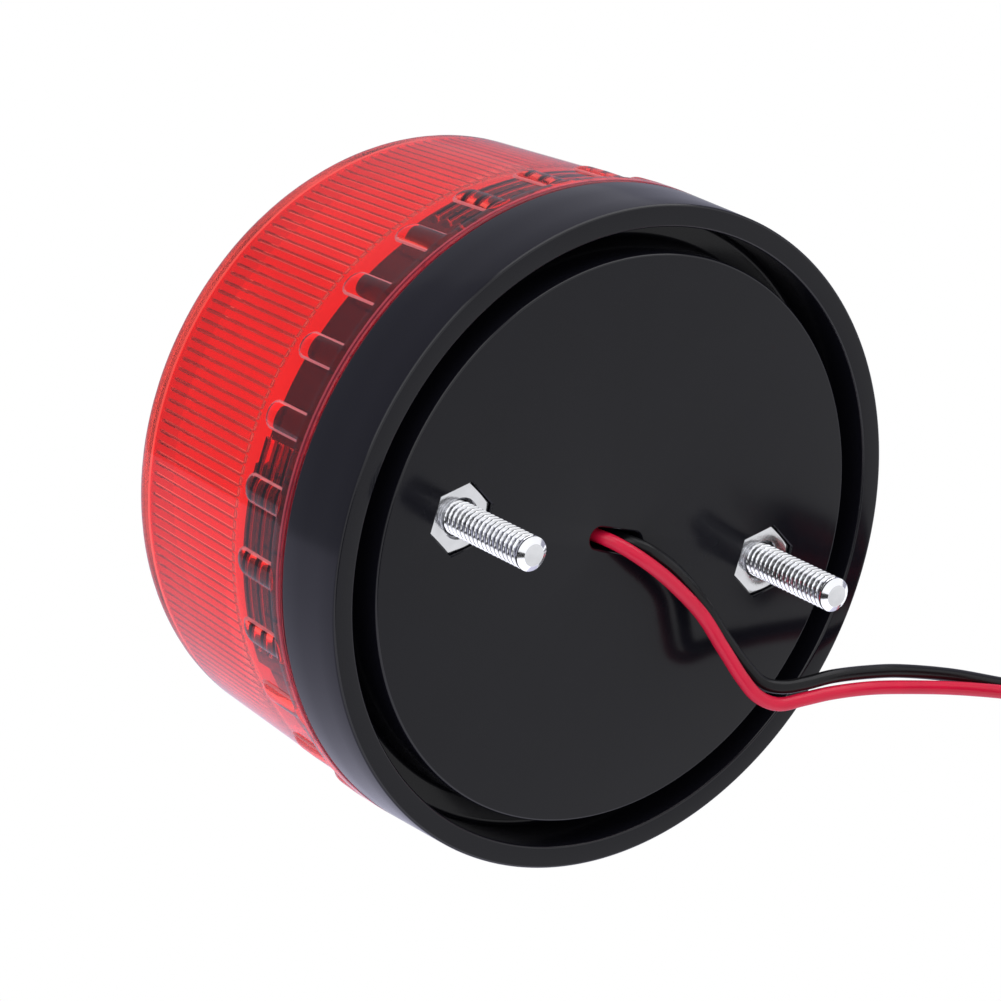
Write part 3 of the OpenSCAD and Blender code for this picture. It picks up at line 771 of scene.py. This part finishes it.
    def bore_angles(self) -> Array:
        """Angles of the columns of the bore, close together at the ends of the lock's sectors.

        Returns:
            Angles in radians.
        """
        lock, count = self.lock, self.bore_columns
        ease = np.linspace(0, lock.ease, 6)
        across = np.concatenate([ease, np.linspace(lock.ease, lock.sweep - lock.ease, count)[1:-1],
                                 lock.sweep - ease[::-1], np.linspace(lock.sweep, lock.part(), count)[1:-1]])
        return repeated(np.radians(across), lock.sectors, math.radians(lock.lens_start()))

    def bore_rows(self, angle: Array) -> Array:
        """Grid of the plain bore with the lens side of the twist lock, from high to low.

        Args:
            angle: Angles of the columns, in radians.

        Returns:
            A grid of (rows, columns, 3) points.
        """
        lock, centers = self.lock, self.lock.lens_centers()
        foot = [self.seat_z + up for up in self.bore_foot]
        z = np.concatenate([foot, lock.levels(centers, self.ridge_t), [self.bore_top]])[::-1, None]
        depth = lock.ridge(z, centers, self.ridge_t) * lock.on_sector(angle, lock.lens_start(), lock.sweep)
        return spin(self.bore_r - lock.proud * depth, z, angle)

    def build(self) -> Object:
        """Makes the lens as one closed skin and puts it on its body.

        Returns:
            The lens.
        """
        m = Mesher()
        outer = m.grid(self.outer_rows(self.lug_angles()))
        m.close(outer[-1], (0, 0, self.top_z + self.dome_h), after=True)
        above = self.flute_high + self.flute_end + self.flute_gap
        under = self.crown(self.inner_fillet, self.hollow_r, self.top_wall, above)[::-1]
        top = m.grid(turned(under, columns(self.top_columns)))
        m.close(top[0], (0, 0, self.top_z - self.top_wall + self.dome_h), after=False)
        fluted, dark = self.flute_rows(self.flute_angles())
        flutes = m.grid(fluted)
        bore = m.grid(self.bore_rows(self.bore_angles()))
        m.stitch(top[-1], flutes[0])
        m.stitch(flutes[-1], bore[0])
        m.stitch(bore[-1], outer[0])
        # Painted shade: the grooves between the inside flutes are darkened through the attribute shade.
        shade = np.zeros(m.count)
        shade[flutes] = dark
        obj = RED_LENS.dress(m.build("lens_skin", shade=shade))
        self.paint_shade_and_highlights(obj.data)
        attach(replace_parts(obj, "lens"), LENS_BODY)
        return obj

    def paint_shade_and_highlights(self, mesh: Mesh) -> None:
        """Paints shade on the ring under the top and on the foot, and highlights on the line above the foot
        and on lug and ridge edges.

        Args:
            mesh: Mesh of the lens, dressed as a whole.
        """
        x, y, z = face_vectors(mesh, "center").T / MM
        facing = face_vectors(mesh, "normal")[:, 2]
        r = np.hypot(x, y)
        high = z > self.top_z - self.top_wall - self.rim_band
        ring = high & (facing < self.rim_facing) & (r > self.rim_r)
        outside = r > self.bore_r + self.skin_in
        off_line = np.abs(self.lug_reach(np.arctan2(y, x), z) - self.lug_line)
        edge = outside & (off_line < self.lug_line_w) & (z > self.flange_top) & (z < self.step_z)
        ridge = (r < self.bore_r - self.ridge_crest * self.lock.proud) & (z < self.step_z - self.ridge_gap)
        foot = outside & (z < self.seat_z + self.foot_h)
        line = outside & (z < self.seat_z + self.foot_h + self.foot_line)
        # Index 1 is painted shade under the top, 2 painted highlight on lug outlines and ridge edges, 3 a
        # painted highlight line above the foot, 4 painted shade on the foot.
        index = np.select([foot, line, edge | ridge, ring], [4, 3, 2, 1], 0)
        paint(mesh, (RED_RIM_SHADE, RED_EDGE_HIGHLIGHT, RED_LINE_HIGHLIGHT, RED_FOOT_SHADE), index)


@dataclass
class Base:
    """The black base: skirt, ring groove, floor disc with a slot and nut pockets, and the neck."""

    lock: TwistLock
    base_r: float = 36.0
    base_h: float = 9.1
    rim_r: float = 33.55
    disc_r: float = 30.8
    cup_r: float = 28.6
    cup_lip: float = 0.2
    cup_round: float = 0.4
    cup_bend: float = 0.12
    deck_t: float = 2.2
    floor_t: float = 2.2
    neck_top: float = 19.5
    neck_edge: float = 0.3
    neck_drop: float = 0.05
    neck_fillet: float = 0.2
    edge: float = 0.35
    groove_fillet: float = 0.5
    skirt_rows: tuple[float, float] = (3.0, 6.0)
    slot_l: float = 7.0
    slot_w: float = 2.4
    slot_edge: float = 0.25
    pocket_af: float = 6.84
    pocket_z: float = 2.5
    pocket_edge: float = 0.12
    stud_x: float = 21.25
    stud_boss_r: float = 5.5
    stud_seat: float = 4.1
    board_boss_r: float = 3.0
    board_boss_y: float = 22.0
    board_z: float = 8.0
    boss_edge: float = 0.2
    boss_columns: int = 48
    ridge_t: float = 0.9
    stop_ease: float = 0.3
    turn_columns: int = 480
    facing_down: float = -0.9

    def lower_profile(self) -> Array:
        """Profile from the edge of the floor disc through the groove, round the skirt, to the deck.

        Returns:
            Points of (radius, height).
        """
        e, k, n = self.edge, self.groove_fillet, self.neck_fillet
        ceil = self.base_h - self.deck_t
        return np.concatenate([
            arc((self.disc_r - e, e), e, -90, 0, 5),
            arc((self.disc_r + k, ceil - k), k, 180, 90, 4),
            arc((self.rim_r - k, ceil - k), k, 90, 0, 4),
            arc((self.rim_r + e, e), e, 180, 270, 5),
            arc((self.base_r - e, e), e, -90, 0, 5),
            [[self.base_r, z] for z in self.skirt_rows],
            arc((self.base_r - e, self.base_h - e), e, 0, 90, 5),
            arc((self.disc_r + n, self.base_h + n), n, 270, 180, 3)])

    def neck_rows(self, angle: Array) -> Array:
        """Grid of the outside of the neck, from low to high, with its ridges and stop ribs.

        Args:
            angle: Angles of the columns, in radians.

        Returns:
            A grid of (rows, columns, 3) points.
        """
        lock, centers = self.lock, self.lock.neck_centers()
        z = np.concatenate([lock.levels(centers, self.ridge_t), [self.neck_top - self.neck_drop]])[:, None]
        depth = lock.ridge(z, centers, self.ridge_t) * lock.on_sector(angle, lock.neck_start, lock.sweep)
        over, under = (z - centers.min()) / self.stop_ease, (centers.max() - z) / self.stop_ease
        tall = smooth_step(over + 0.5) * smooth_step(under + 0.5)
        depth = np.maximum(depth, tall * lock.on_sector(angle, lock.neck_start, lock.stop))
        return spin(self.disc_r + lock.proud * depth, z, angle)

    def inner_profile(self) -> Array:
        """Profile over the top of the neck, down the cup, to the edge of its floor.

        Returns:
            Points of (radius, height).
        """
        top, floor, k = self.neck_top, self.floor_t, self.cup_bend
        return np.array([[self.disc_r - self.neck_edge, top], [self.cup_r + self.cup_lip, top],
                         [self.cup_r, top - self.cup_lip], [self.cup_r, floor + self.cup_round],
                         [self.cup_r - k, floor + k], [self.cup_r - self.cup_round, floor]])

    def slot_outline(self, grow: float) -> Array:
        """Outline of the slot, a straight run between two half circles, grown by an amount."""
        r, x = self.slot_w / 2 + grow, (self.slot_l - self.slot_w) / 2
        return np.concatenate([arc((x, 0), r, -90, 90, 16), arc((-x, 0), r, 90, 270, 16)])

    def pocket_outline(self, side: int, grow: float) -> Array:
        """Outline of a nut pocket, a hexagon with corners along Y, grown by an amount.

        Args:
            side: Side of the pocket, -1 or 1.
            grow: That amount.

        Returns:
            Points of (6, 2).
        """
        r = (self.pocket_af / 2 + grow) / math.cos(math.radians(30))
        a = np.radians(30 + 60 * np.arange(6))
        return np.stack([side * self.stud_x + r * np.cos(a), r * np.sin(a)], -1)

    @staticmethod
    def opening(m: Mesher, outline: Callable[[float], Array], levels: Sequence) -> Array:
        """Adds the wall of an opening in the floor, row by row.

        Args:
            m: The mesh that it goes into.
            outline: Outline of the opening when grown.
            levels: How far it is grown, and the height, for each row.

        Returns:
            The numbers of the points, as (rows, columns).
        """
        rows = [(outline(grow), z) for grow, z in levels]
        return m.grid(np.stack([np.column_stack([p, np.full(len(p), z)]) for p, z in rows]))

    def boss(self, m: Mesher, place: tuple[float, float], radius: float, top: float) -> None:
        """Adds a round boss that stands on the inside floor.

        Args:
            m: The mesh that it goes into.
            place: Its axis.
            radius: Its radius.
            top: Height of its top.
        """
        e = self.boss_edge
        profile = np.array([[radius, self.floor_t - e], [radius, top - e], [radius - e, top]])
        rows = m.grid(turned(profile, columns(self.boss_columns)) + np.array([*place, 0]))
        m.close(rows[-1], (*place, top), after=True)

    def build(self) -> Object:
        """Makes the base as one skin, with the bosses that stand inside it, and puts it on its body.

        Returns:
            The base.
        """
        m = Mesher()
        a, e, k = columns(self.turn_columns), self.slot_edge, self.pocket_edge
        skin = m.grid(np.concatenate([turned(self.lower_profile(), a), self.neck_rows(a),
                                      turned(self.inner_profile(), a)]))
        slot = self.opening(m, self.slot_outline, [(0.0, self.floor_t), *arc((e, e), e, 180, 270, 4)])
        holes = [slot[-1]]
        for side in (-1, 1):
            outline = partial(self.pocket_outline, side)
            pocket = self.opening(m, outline, [(0.0, self.pocket_z), (0.0, k), (k, 0.0)])
            m.flat(pocket[0], [], up=False)
            holes.append(pocket[-1])
            self.boss(m, (side * self.stud_x, 0), self.stud_boss_r, self.stud_seat)
            self.boss(m, (0, side * self.board_boss_y), self.board_boss_r, self.board_z)
        m.flat(skin[0], holes, up=False)
        m.flat(skin[-1], [slot[0]], up=True)
        obj = BLACK_PLASTIC.dress(m.build("base_skin"))
        # Painted shade: faces that look down take the copy with the dimmer reflection.
        paint(obj.data, (BLACK_UNDERSIDE_DIMMED,), face_vectors(obj.data, "normal")[:, 2] < self.facing_down)
        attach(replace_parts(obj, "base"), BASE_BODY)
        return obj


@dataclass
class Studs:
    """The two mounting screws with rolled threads, and their nuts."""

    stud_x: float = 21.25
    thread_r: float = 1.84
    thread_top: float = 1.2
    core_r: float = 1.65
    core_low: float = 1.3
    pitch: float = 0.7
    pitch_rows: int = 14
    depth: float = 0.4
    crest: float = 0.2
    flank: float = 0.62
    first_row: float = 0.03
    tip_z: float = -11.9
    tip_rim: float = 0.64
    tip_bevel: float = 0.4
    # Painted shade on the flat end of a screw, and the band over which it fades.
    tip_shade: float = 0.28
    tip_step: float = 0.05
    tip_band: float = 0.01
    seat_z: float = 4.1
    head_r: float = 3.6
    head_h: float = 2.2
    head_round: float = 0.7
    head_flat: float = 0.3
    screw_columns: int = 72
    nut_af: float = 6.6
    nut_low: float = 0.3
    nut_high: float = 2.5
    nut_face: float = 0.97
    nut_bevel: float = 12.0
    nut_columns: int = 96
    mouth_r: float = 2.25
    # How fast the painted shade in a nut's mouth darkens inwards from the mouth's edge.
    mouth_shade: float = 6.0
    bore_r: float = 1.7

    def face_r(self) -> float:
        """Radius of the flat end of a screw, just inside its bevel."""
        return self.thread_r - self.tip_rim - self.tip_step

    def off_axis(self, points: Array) -> Array:
        """Distance of points from the axis of the nearer screw."""
        return np.hypot(np.abs(points[:, 0]) - self.stud_x, points[:, 1])

    def thread_rows(self) -> Array:
        """Grid of one screw, from its tip to its head.

        The radius falls from the crest by the thread depth times a wedge wave of
        (height / pitch - angle / turn), which fades in over one pitch behind the tip. The rim of the tip is a
        bevel.

        Returns:
            A grid of (rows, columns, 3) points.
        """
        a = columns(self.screw_columns)
        t = np.linspace(0, 1, 3)[:, None]
        start = self.tip_z + self.tip_bevel
        face = turned(np.array([[self.face_r(), self.tip_z]]), a)
        rim = spin(self.thread_r - self.tip_rim * (1 - t), self.tip_z + self.tip_bevel * t, a)
        rise = np.arange(start + self.first_row, self.thread_top, self.pitch / self.pitch_rows)[:, None]
        away = np.abs(np.mod(rise / self.pitch - a / TURN, 1.0) - 0.5) * 2
        groove = np.clip((away - self.crest) / self.flank, 0, 1) * smooth_step((rise - start) / self.pitch)
        thread = spin(self.thread_r - self.depth * groove, rise, a)
        k, top = self.head_round * self.head_h, self.seat_z + self.head_h
        neck = [[self.core_r, self.core_low], [self.core_r, self.seat_z], [self.head_r, self.seat_z]]
        head = np.concatenate([neck, arc((self.head_r - k, top - k), k, 0, 90, 6), [[self.head_flat, top]]])
        return np.concatenate([face, rim, thread, turned(head, a)])

    def nut_rows(self) -> Array:
        """Grid of one nut: bore, bevelled mouth, face, corners cut by a shallow cone, flats and back face.

        Returns:
            A grid of (rows, columns, 3) points.
        """
        a = columns(self.nut_columns)
        flat = np.mod(np.degrees(a) + 30, 60) - 30
        hexagon = self.nut_af / 2 / np.cos(np.radians(flat))
        face_r = self.nut_af / 2 * self.nut_face
        drop = np.maximum(hexagon - face_r, 0) * math.tan(math.radians(self.nut_bevel))
        low, high, bore, mouth = self.nut_low, self.nut_high, self.bore_r, self.mouth_r
        rows = [(bore, high), (bore, low + mouth - bore), (mouth, low), (face_r, low)]
        rows += [(face_r + (hexagon - face_r) * t, low + drop * t) for t in (0.5, 1.0)]
        rows += [(hexagon, high - drop), (face_r, high), (bore, high)]
        return np.stack([spin(r, z, a) for r, z in rows])

    def build(self) -> list[Object]:
        """Makes both screws as one piece and both nuts as another, with painted shade in the thread roots,
        the nut mouths and on each screw's flat end.

        Returns:
            The screws and the nuts.
        """
        screws, nuts = Mesher(), Mesher()
        for side in (-1, 1):
            shift = np.array([side * self.stud_x, 0, 0])
            n = screws.grid(self.thread_rows() + shift)
            screws.close(n[0], shift + [0, 0, self.tip_z], after=False)
            screws.close(n[-1], shift + [0, 0, self.seat_z + self.head_h], after=True)
            nuts.grid(self.nut_rows() + shift)
        p, q = np.concatenate(screws.points), np.concatenate(nuts.points)
        r = self.off_axis(p)
        # Painted shade: darker towards the root of each thread.
        root = np.clip((self.thread_r - r) / self.depth, 0, 1) ** 2
        # Painted shade: the flat end of each screw is darkened evenly.
        face = self.tip_shade * (r < self.face_r() + self.tip_band)
        shade = np.where(p[:, 2] > self.tip_z + self.tip_bevel, root, face)
        # Painted shade: the mouth of each nut darkens towards its bore.
        hole = (self.mouth_r - self.off_axis(q)) / (self.mouth_r - self.bore_r)
        mouth = np.clip(self.mouth_shade * hole, 0, 1)
        made = [THREAD.dress(screws.build("screw_threads", sharp=30, shade=shade)),
                NUT_ZINC.dress(nuts.build("nut_bodies", sharp=25, shade=mouth))]
        for obj, node in zip(made, ("mounting_screws", "hex_nuts")):
            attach(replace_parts(obj, node), BASE_BODY)
        return made


RED_ROUTE = np.array([
    [-2.4, 0, 8], [-2.4, 0, 6], [-2.2, 0, 3.8], [-1.6, 0, 1.6], [-0.3, 0.2, -0.6], [2.2, 1.1, -2.3],
    [6.1, 2.8, -3], [11, 5.6, -3.7], [14.2, 8.6, -4.9], [17.2, 11.5, -6.2], [19.4, 13, -7],
    [22.2, 13.4, -7.4], [25.2, 12.5, -7.6], [29, 11.4, -7.7], [34, 10.4, -7.8], [39, 9.8, -7.9],
    [46, 9.2, -8.1], [53.5, 8.9, -8.3], [57, 8.9, -8.9], [60.2, 8.9, -10.8], [62.3, 8.9, -14],
    [63, 8.9, -18], [63, 8.9, -22.5]])
BLACK_ROUTE = np.array([
    [0.6, 0, 8], [0.7, 0, 6], [1, 0, 3.8], [1.5, 0, 1.7], [2.4, 0, -0.2], [4.3, 0.5, -1.4],
    [7.8, 2, -1.8], [12.3, 4.9, -2.3], [15.4, 7.8, -3.4], [18.4, 10.5, -5], [20.4, 11.7, -5.9],
    [22.7, 11.7, -6.6], [25.6, 10.9, -6.9], [29.2, 9.8, -6.9], [34.2, 8.9, -6.8], [39, 8.3, -6.9],
    [46.6, 8.1, -6.8], [54.6, 8.4, -6.8], [58.6, 8.3, -7.7], [61.7, 7.9, -10.3], [63.2, 7.5, -14],
    [63.15, 7.3, -18], [63, 7.3, -22.5]])


@dataclass
class Leads:
    """The two flying leads, their put-away coil, its tie and the stripped ends."""

    lead_d: float = 1.5
    lead_steps: int = 6
    coil_x: float = 54.75
    coil_z: float = -24.0
    coil_r: float = 8.25
    coil_turns: float = 2.2
    coil_steps: int = 36
    step: float = 1.6
    tail: float = 4.1
    bare_d: float = 0.8
    bare_l: float = 6.0
    bare_in: float = 0.5
    bare_rows: int = 40
    strands: int = 7
    strand_columns: int = 8
    strand_in: float = 0.12
    strand_lay: float = 0.9
    length: float = 0.21
    edge_y: float = 9.65
    tie_t: float = 0.7
    tie_half_w: float = 1.2
    tie_edge: float = 0.15
    tie_corner: float = 0.3
    tie_gap: float = 0.05

    def coil(self, y: float) -> Array:
        """Turns of one lead: a helix about an axis along Y that moves two lead steps in a turn."""
        s = np.linspace(0, TURN * self.coil_turns, int(self.coil_steps * self.coil_turns))
        return np.stack([self.coil_x + self.coil_r * np.cos(s), y - 2 * self.step * s / TURN,
                         self.coil_z - self.coil_r * np.sin(s)], -1)

    def heading(self) -> Array:
        """Direction in which the leads leave the coil."""
        s = TURN * self.coil_turns
        return np.array([-math.sin(s), 0, -math.cos(s)])

    def lead(self, name: str, route: Array, finish: Finish) -> tuple[Object, Array]:
        """Makes one lead as a round-bevelled curve.

        Args:
            name: Name of the piece.
            route: Chosen points from the board to the coil.
            finish: Finish of the insulation.

        Returns:
            The curve object and the end of its insulation.
        """
        turns = self.coil(route[-1, 1])
        end = turns[-1] + self.heading() * self.tail
        run = smooth_line(np.concatenate([route, turns[:1]]), self.lead_steps)
        line = np.concatenate([run, turns[1:], [end]])
        data = bpy.data.curves.new(name, "CURVE")
        data.dimensions = "3D"
        data.bevel_depth = self.lead_d / 2 * MM
        data.bevel_resolution = 6
        data.use_fill_caps = True
        spline = data.splines.new("POLY")
        spline.points.add(len(line) - 1)
        spline.points.foreach_set("co", np.column_stack([line * MM, np.ones(len(line))]).ravel())
        spline.use_smooth = True
        obj = bpy.data.objects.new(name, data)
        bpy.context.scene.collection.objects.link(obj)
        return finish.dress(obj), end

    def stripped_end(self, m: Mesher, start: Array) -> None:
        """Adds a stripped end: twisted strands, as a round with a lobe for each, turned along its length.

        Args:
            m: The mesh that it goes into.
            start: End of the insulation.
        """
        along = np.linspace(-self.bare_in, self.bare_l, self.bare_rows)[:, None]
        a = columns(self.strand_columns * self.strands)
        k = self.strand_in
        r = self.bare_d / 2 * (1 - k + k * np.cos(self.strands * (a - along * self.strand_lay)))
        heading, side = self.heading(), np.array([0.0, 1.0, 0.0])
        other = np.cross(heading, side)
        grid = (start + along[..., None] * heading + (r * np.cos(a))[..., None] * side
                + (r * np.sin(a))[..., None] * other)
        rows = m.grid(grid)
        m.close(rows[0], grid[0].mean(0), after=False)
        m.close(rows[-1], grid[-1].mean(0), after=True)

    def tie(self) -> Object:
        """Makes the tie: a rounded strap section carried round a rounded-oblong loop about the turns.

        Returns:
            The tie.
        """
        width = 2 * self.coil_turns * self.step + self.step + self.lead_d
        r, t, w, b = self.tie_corner, self.tie_t, self.tie_half_w, self.tie_edge
        x, y = self.lead_d / 2 + self.tie_gap - r, width / 2 + self.tie_gap - r
        corners = [((x, y), 0), ((-x, y), 90), ((-x, -y), 180), ((x, -y), 270)]
        loop = np.concatenate([arc(c, r, s, s + 90, 6) for c, s in corners])
        out = np.concatenate([arc((0, 0), 1, s, s + 90, 6) for _, s in corners])
        section = np.array([[0, w - b], [0, b - w], [b, -w], [t - b, -w],
                            [t, b - w], [t, w - b], [t - b, w], [b, w]])
        flat = loop + section[:, :1, None] * out
        rise = np.broadcast_to(section[:, 1:, None], (*flat.shape[:2], 1))
        middle = np.array([self.coil_x - self.coil_r, self.edge_y - width / 2, self.coil_z])
        m = Mesher()
        m.grid(np.concatenate([flat, rise], -1) + middle, loop=True)
        return BLACK_PVC.dress(m.build("coil_tie"))

    def build(self) -> list[Object]:
        """Makes the leads and what is on them, and puts them on the base's body.

        Returns:
            The leads, the stripped ends and the tie.
        """
        red, red_end = self.lead("red_lead_run", RED_ROUTE, RED_PVC)
        black, black_end = self.lead("black_lead_run", BLACK_ROUTE, BLACK_PVC)
        m = Mesher()
        for end in (red_end, black_end):
            self.stripped_end(m, end)
        ends = TINNED.dress(m.build("stripped_ends"))
        tie = self.tie()
        for obj, nodes in ((red, ("red_lead", "lead_coil")), (black, ("black_lead",)), (ends, ("lead_ends",)),
                           (tie, ("lead_tie",))):
            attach(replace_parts(obj, *nodes), BASE_BODY)
        return [red, black, ends, tie]


INNER_FINISHES: dict[str, Finish] = {
    "circuit_board": BOARD, "board_screws": ZINC, "flash_tube": TUBE_GLASS, "tube_pins": TINNED,
    "trigger_wire": TINNED, "trigger_transformer": WINDING, "storage_capacitor": SLEEVE,
    "film_capacitor": DIPPED, "transformer_core": FERRITE, "transformer_winding": WINDING,
    "switching_transistor": PACKAGE, "thyristor": PACKAGE, "diodes": PACKAGE, "resistors": RESISTOR}

FACE_WATTS = 4
MATT = 0.9


@dataclass(frozen=True)
class Panel:
    """A soft light panel.

    Attributes:
        name: Name of the light.
        place: Middle of the panel, in metres.
        facing: Direction in which it shines.
        along: Direction of its width.
        size: Width and height, in metres.
        level: Brightness of its face, where white is 1.
        tint: Colour.
    """

    name: str
    place: Place
    facing: Place
    along: Place
    size: tuple[float, float]
    level: float
    tint: Color = (1.0, 1.0, 1.0)

    def build(self) -> Object:
        """Adds the light. FACE_WATTS a square metre give a face of brightness 1.

        Returns:
            The light.
        """
        data = bpy.data.lights.new(self.name, "AREA")
        data.shape = "RECTANGLE"
        data.size, data.size_y = self.size
        data.energy = FACE_WATTS * self.level * self.size[0] * self.size[1]
        data.color = self.tint
        obj = bpy.data.objects.new(self.name, data)
        back = -Vector(self.facing).normalized()
        side = Vector(self.along)
        side = (side - back * side.dot(back)).normalized()
        turn = Matrix((side, back.cross(side), back)).transposed()
        obj.matrix_world = Matrix.Translation(self.place) @ turn.to_4x4()
        obj.visible_camera = False
        bpy.context.scene.collection.objects.link(obj)
        return obj


PANELS = (
    Panel("table", (0.057, 0.2, 0.265), (0, -1, 0), (0.571, 0, 0.822), (1.1, 0.81), 0.27, (0.9, 0.88, 1.12)),
    Panel("left", (-0.47, -0.28, -0.09), (0.86, 0.5, 0.15), (0, 0, 1), (0.5, 0.5), 1.0),
    Panel("overhead", (0.05, -0.52, 0.0), (-0.1, 1, 0), (1, 0, 0), (0.6, 0.5), 1.3),
    Panel("back", (0.1, -0.4, 0.53), (-0.15, 0.6, -0.79), (1, 0, 0), (0.6, 0.35), 0.08),
    Panel("right", (0.7, 0.12, 0.12), (-0.98, -0.17, -0.1), (0, 1, 0), (0.4, 0.3), 0.7),
)


@dataclass
class Studio:
    """Camera, white surroundings and soft light."""

    lens_mm: float = 215.8
    sensor_mm: float = 36.0
    clip: tuple[float, float] = (0.01, 20.0)
    eye: Place = (-0.41734, -0.09807, -0.44817)
    right: Place = (0.74553, -0.27376, -0.60766)
    up: Place = (-0.10619, -0.94889, 0.29722)
    back: Place = (-0.65796, -0.15705, -0.73649)
    floor_z: float = -0.75
    floor_half: float = 3.0
    floor_color: Color = (0.38, 0.385, 0.42)
    floor_glow: float = 0.38
    floor_lift: float = 0.4
    card_place: Place = (-0.142, 0.164, -0.495)
    card_side: Place = (0.13, 0.0, 0.0)
    card_up: Place = (0.0, 0.1, 0.02)
    card_color: Color = (0.01, 0.01, 0.01)
    ambient: Color = (0.55, 0.55, 0.55)
    mirrored: Color = (0.33, 0.33, 0.4125)
    backdrop: float = 0.988

    def camera(self) -> None:
        """Puts the camera where the photograph was taken from."""
        data = bpy.data.cameras.new("photo camera")
        data.lens, data.sensor_width = self.lens_mm, self.sensor_mm
        data.clip_start, data.clip_end = self.clip
        cam = bpy.data.objects.new("photo camera", data)
        turn = Matrix((self.right, self.up, self.back)).transposed()
        cam.matrix_world = Matrix.Translation(self.eye) @ turn.to_4x4()
        bpy.context.scene.collection.objects.link(cam)
        bpy.context.scene.camera = cam

    @staticmethod
    def mix(tree: NodeTree, share: Any, first: Any, second: Any) -> NodeSocket:
        """Mixes two colours, or links to them, by the share of the second."""
        return put(tree, "Mix", {"Factor": share, "A": first, "B": second}, data_type="RGBA")["Result"]

    def surroundings(self) -> None:
        """Surroundings: white where seen directly or through the lens, and a plain grey as light.

        In reflections the backdrop, which lies where the camera looks, is white too, and the rest is a darker
        grey.
        """
        world = bpy.data.worlds.new("white surroundings")
        bpy.context.scene.world = world
        world.use_nodes = True
        tree = world.node_tree
        path, way = put(tree, "LightPath", {}), put(tree, "TexCoord", {})["Generated"]
        clear = put(tree, "Math", {0: path["Is Camera Ray"], 1: path["Is Transmission Ray"]},
                    operation="MAXIMUM")
        along = put(tree, "VectorMath", {0: way, 1: tuple(-v for v in self.back)}, operation="DOT_PRODUCT")
        ramp = put(tree, "MapRange", {"Value": along["Value"], "From Min": self.backdrop, "From Max": 1.0})
        mirror = self.mix(tree, ramp["Result"], (*self.mirrored, 1.0), WHITE)
        light = self.mix(tree, path["Is Glossy Ray"], (*self.ambient, 1.0), mirror)
        color = self.mix(tree, clear[0], light, WHITE)
        feed(tree, tree.nodes["Background"], {"Color": color})

    @staticmethod
    def sheet(name: str, middle: Place, side: Place, up: Place, color: Color) -> Object:
        """Makes a flat, matt sheet of the stage.

        Args:
            name: Name of the sheet and its material.
            middle: Its middle, in metres.
            side: From there to the middle of its right edge.
            up: From there to the middle of its upper edge.
            color: Colour, linear.

        Returns:
            The sheet.
        """
        c, s, u = (np.array(v) / MM for v in (middle, side, up))
        m = Mesher()
        m.grid(np.array([[c - s - u, c + s - u], [c - s + u, c + s + u]]), ring=False)
        obj = m.build(name)
        obj.data.materials.append(Finish(name, "", color, MATT).material())
        return obj

    def floor(self) -> None:
        """A plain pale floor far below, lifted to white where it is seen, with the object's shadow on it."""
        half = self.floor_half
        obj = self.sheet("studio floor", (0, 0, self.floor_z), (half, 0, 0), (0, half, 0), self.floor_color)
        tree = obj.data.materials[0].node_tree
        path = put(tree, "LightPath", {})
        seen = path["Is Camera Ray"]
        for ray in ("Is Glossy Ray", "Is Transmission Ray"):
            seen = put(tree, "Math", {0: seen, 1: path[ray]}, operation="MAXIMUM")[0]
        glow = put(tree, "Math", {0: seen, 1: self.floor_lift, 2: self.floor_glow},
                   operation="MULTIPLY_ADD")[0]
        feed(tree, tree.nodes["Principled BSDF"], {"Emission Color": WHITE, "Emission Strength": glow})

    def card(self) -> None:
        """A dark card beside the camera, seen only in reflections such as those of the threads."""
        obj = self.sheet("dark card", self.card_place, self.card_side, self.card_up, self.card_color)
        for kind in ("camera", "diffuse", "transmission", "shadow"):
            setattr(obj, "visible_" + kind, False)

    def build(self) -> None:
        """Sets up the whole studio."""
        self.camera()
        self.surroundings()
        self.floor()
        self.card()
        for panel in PANELS:
            panel.build()
        scene = bpy.context.scene
        scene.view_settings.view_transform = "Standard"
        scene.cycles.max_bounces = 32
        scene.cycles.glossy_bounces = 24
        scene.cycles.transmission_bounces = 32


def main() -> None:
    """Builds the studio, then each sub-assembly."""
    logging.basicConfig(level=logging.INFO, format="%(name)s: %(message)s")
    Studio().build()
    lock = TwistLock()
    made = Leads().build()
    made += [Lens(lock).build(), Base(lock).build(), *Studs().build()]
    for name, finish in INNER_FINISHES.items():
        made.append(finish.dress(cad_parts[name]))
    for obj in made:
        LOG.info("%s: %s", obj.name, obj.data.materials[0].name)


if __name__ == "__main__":
    main()
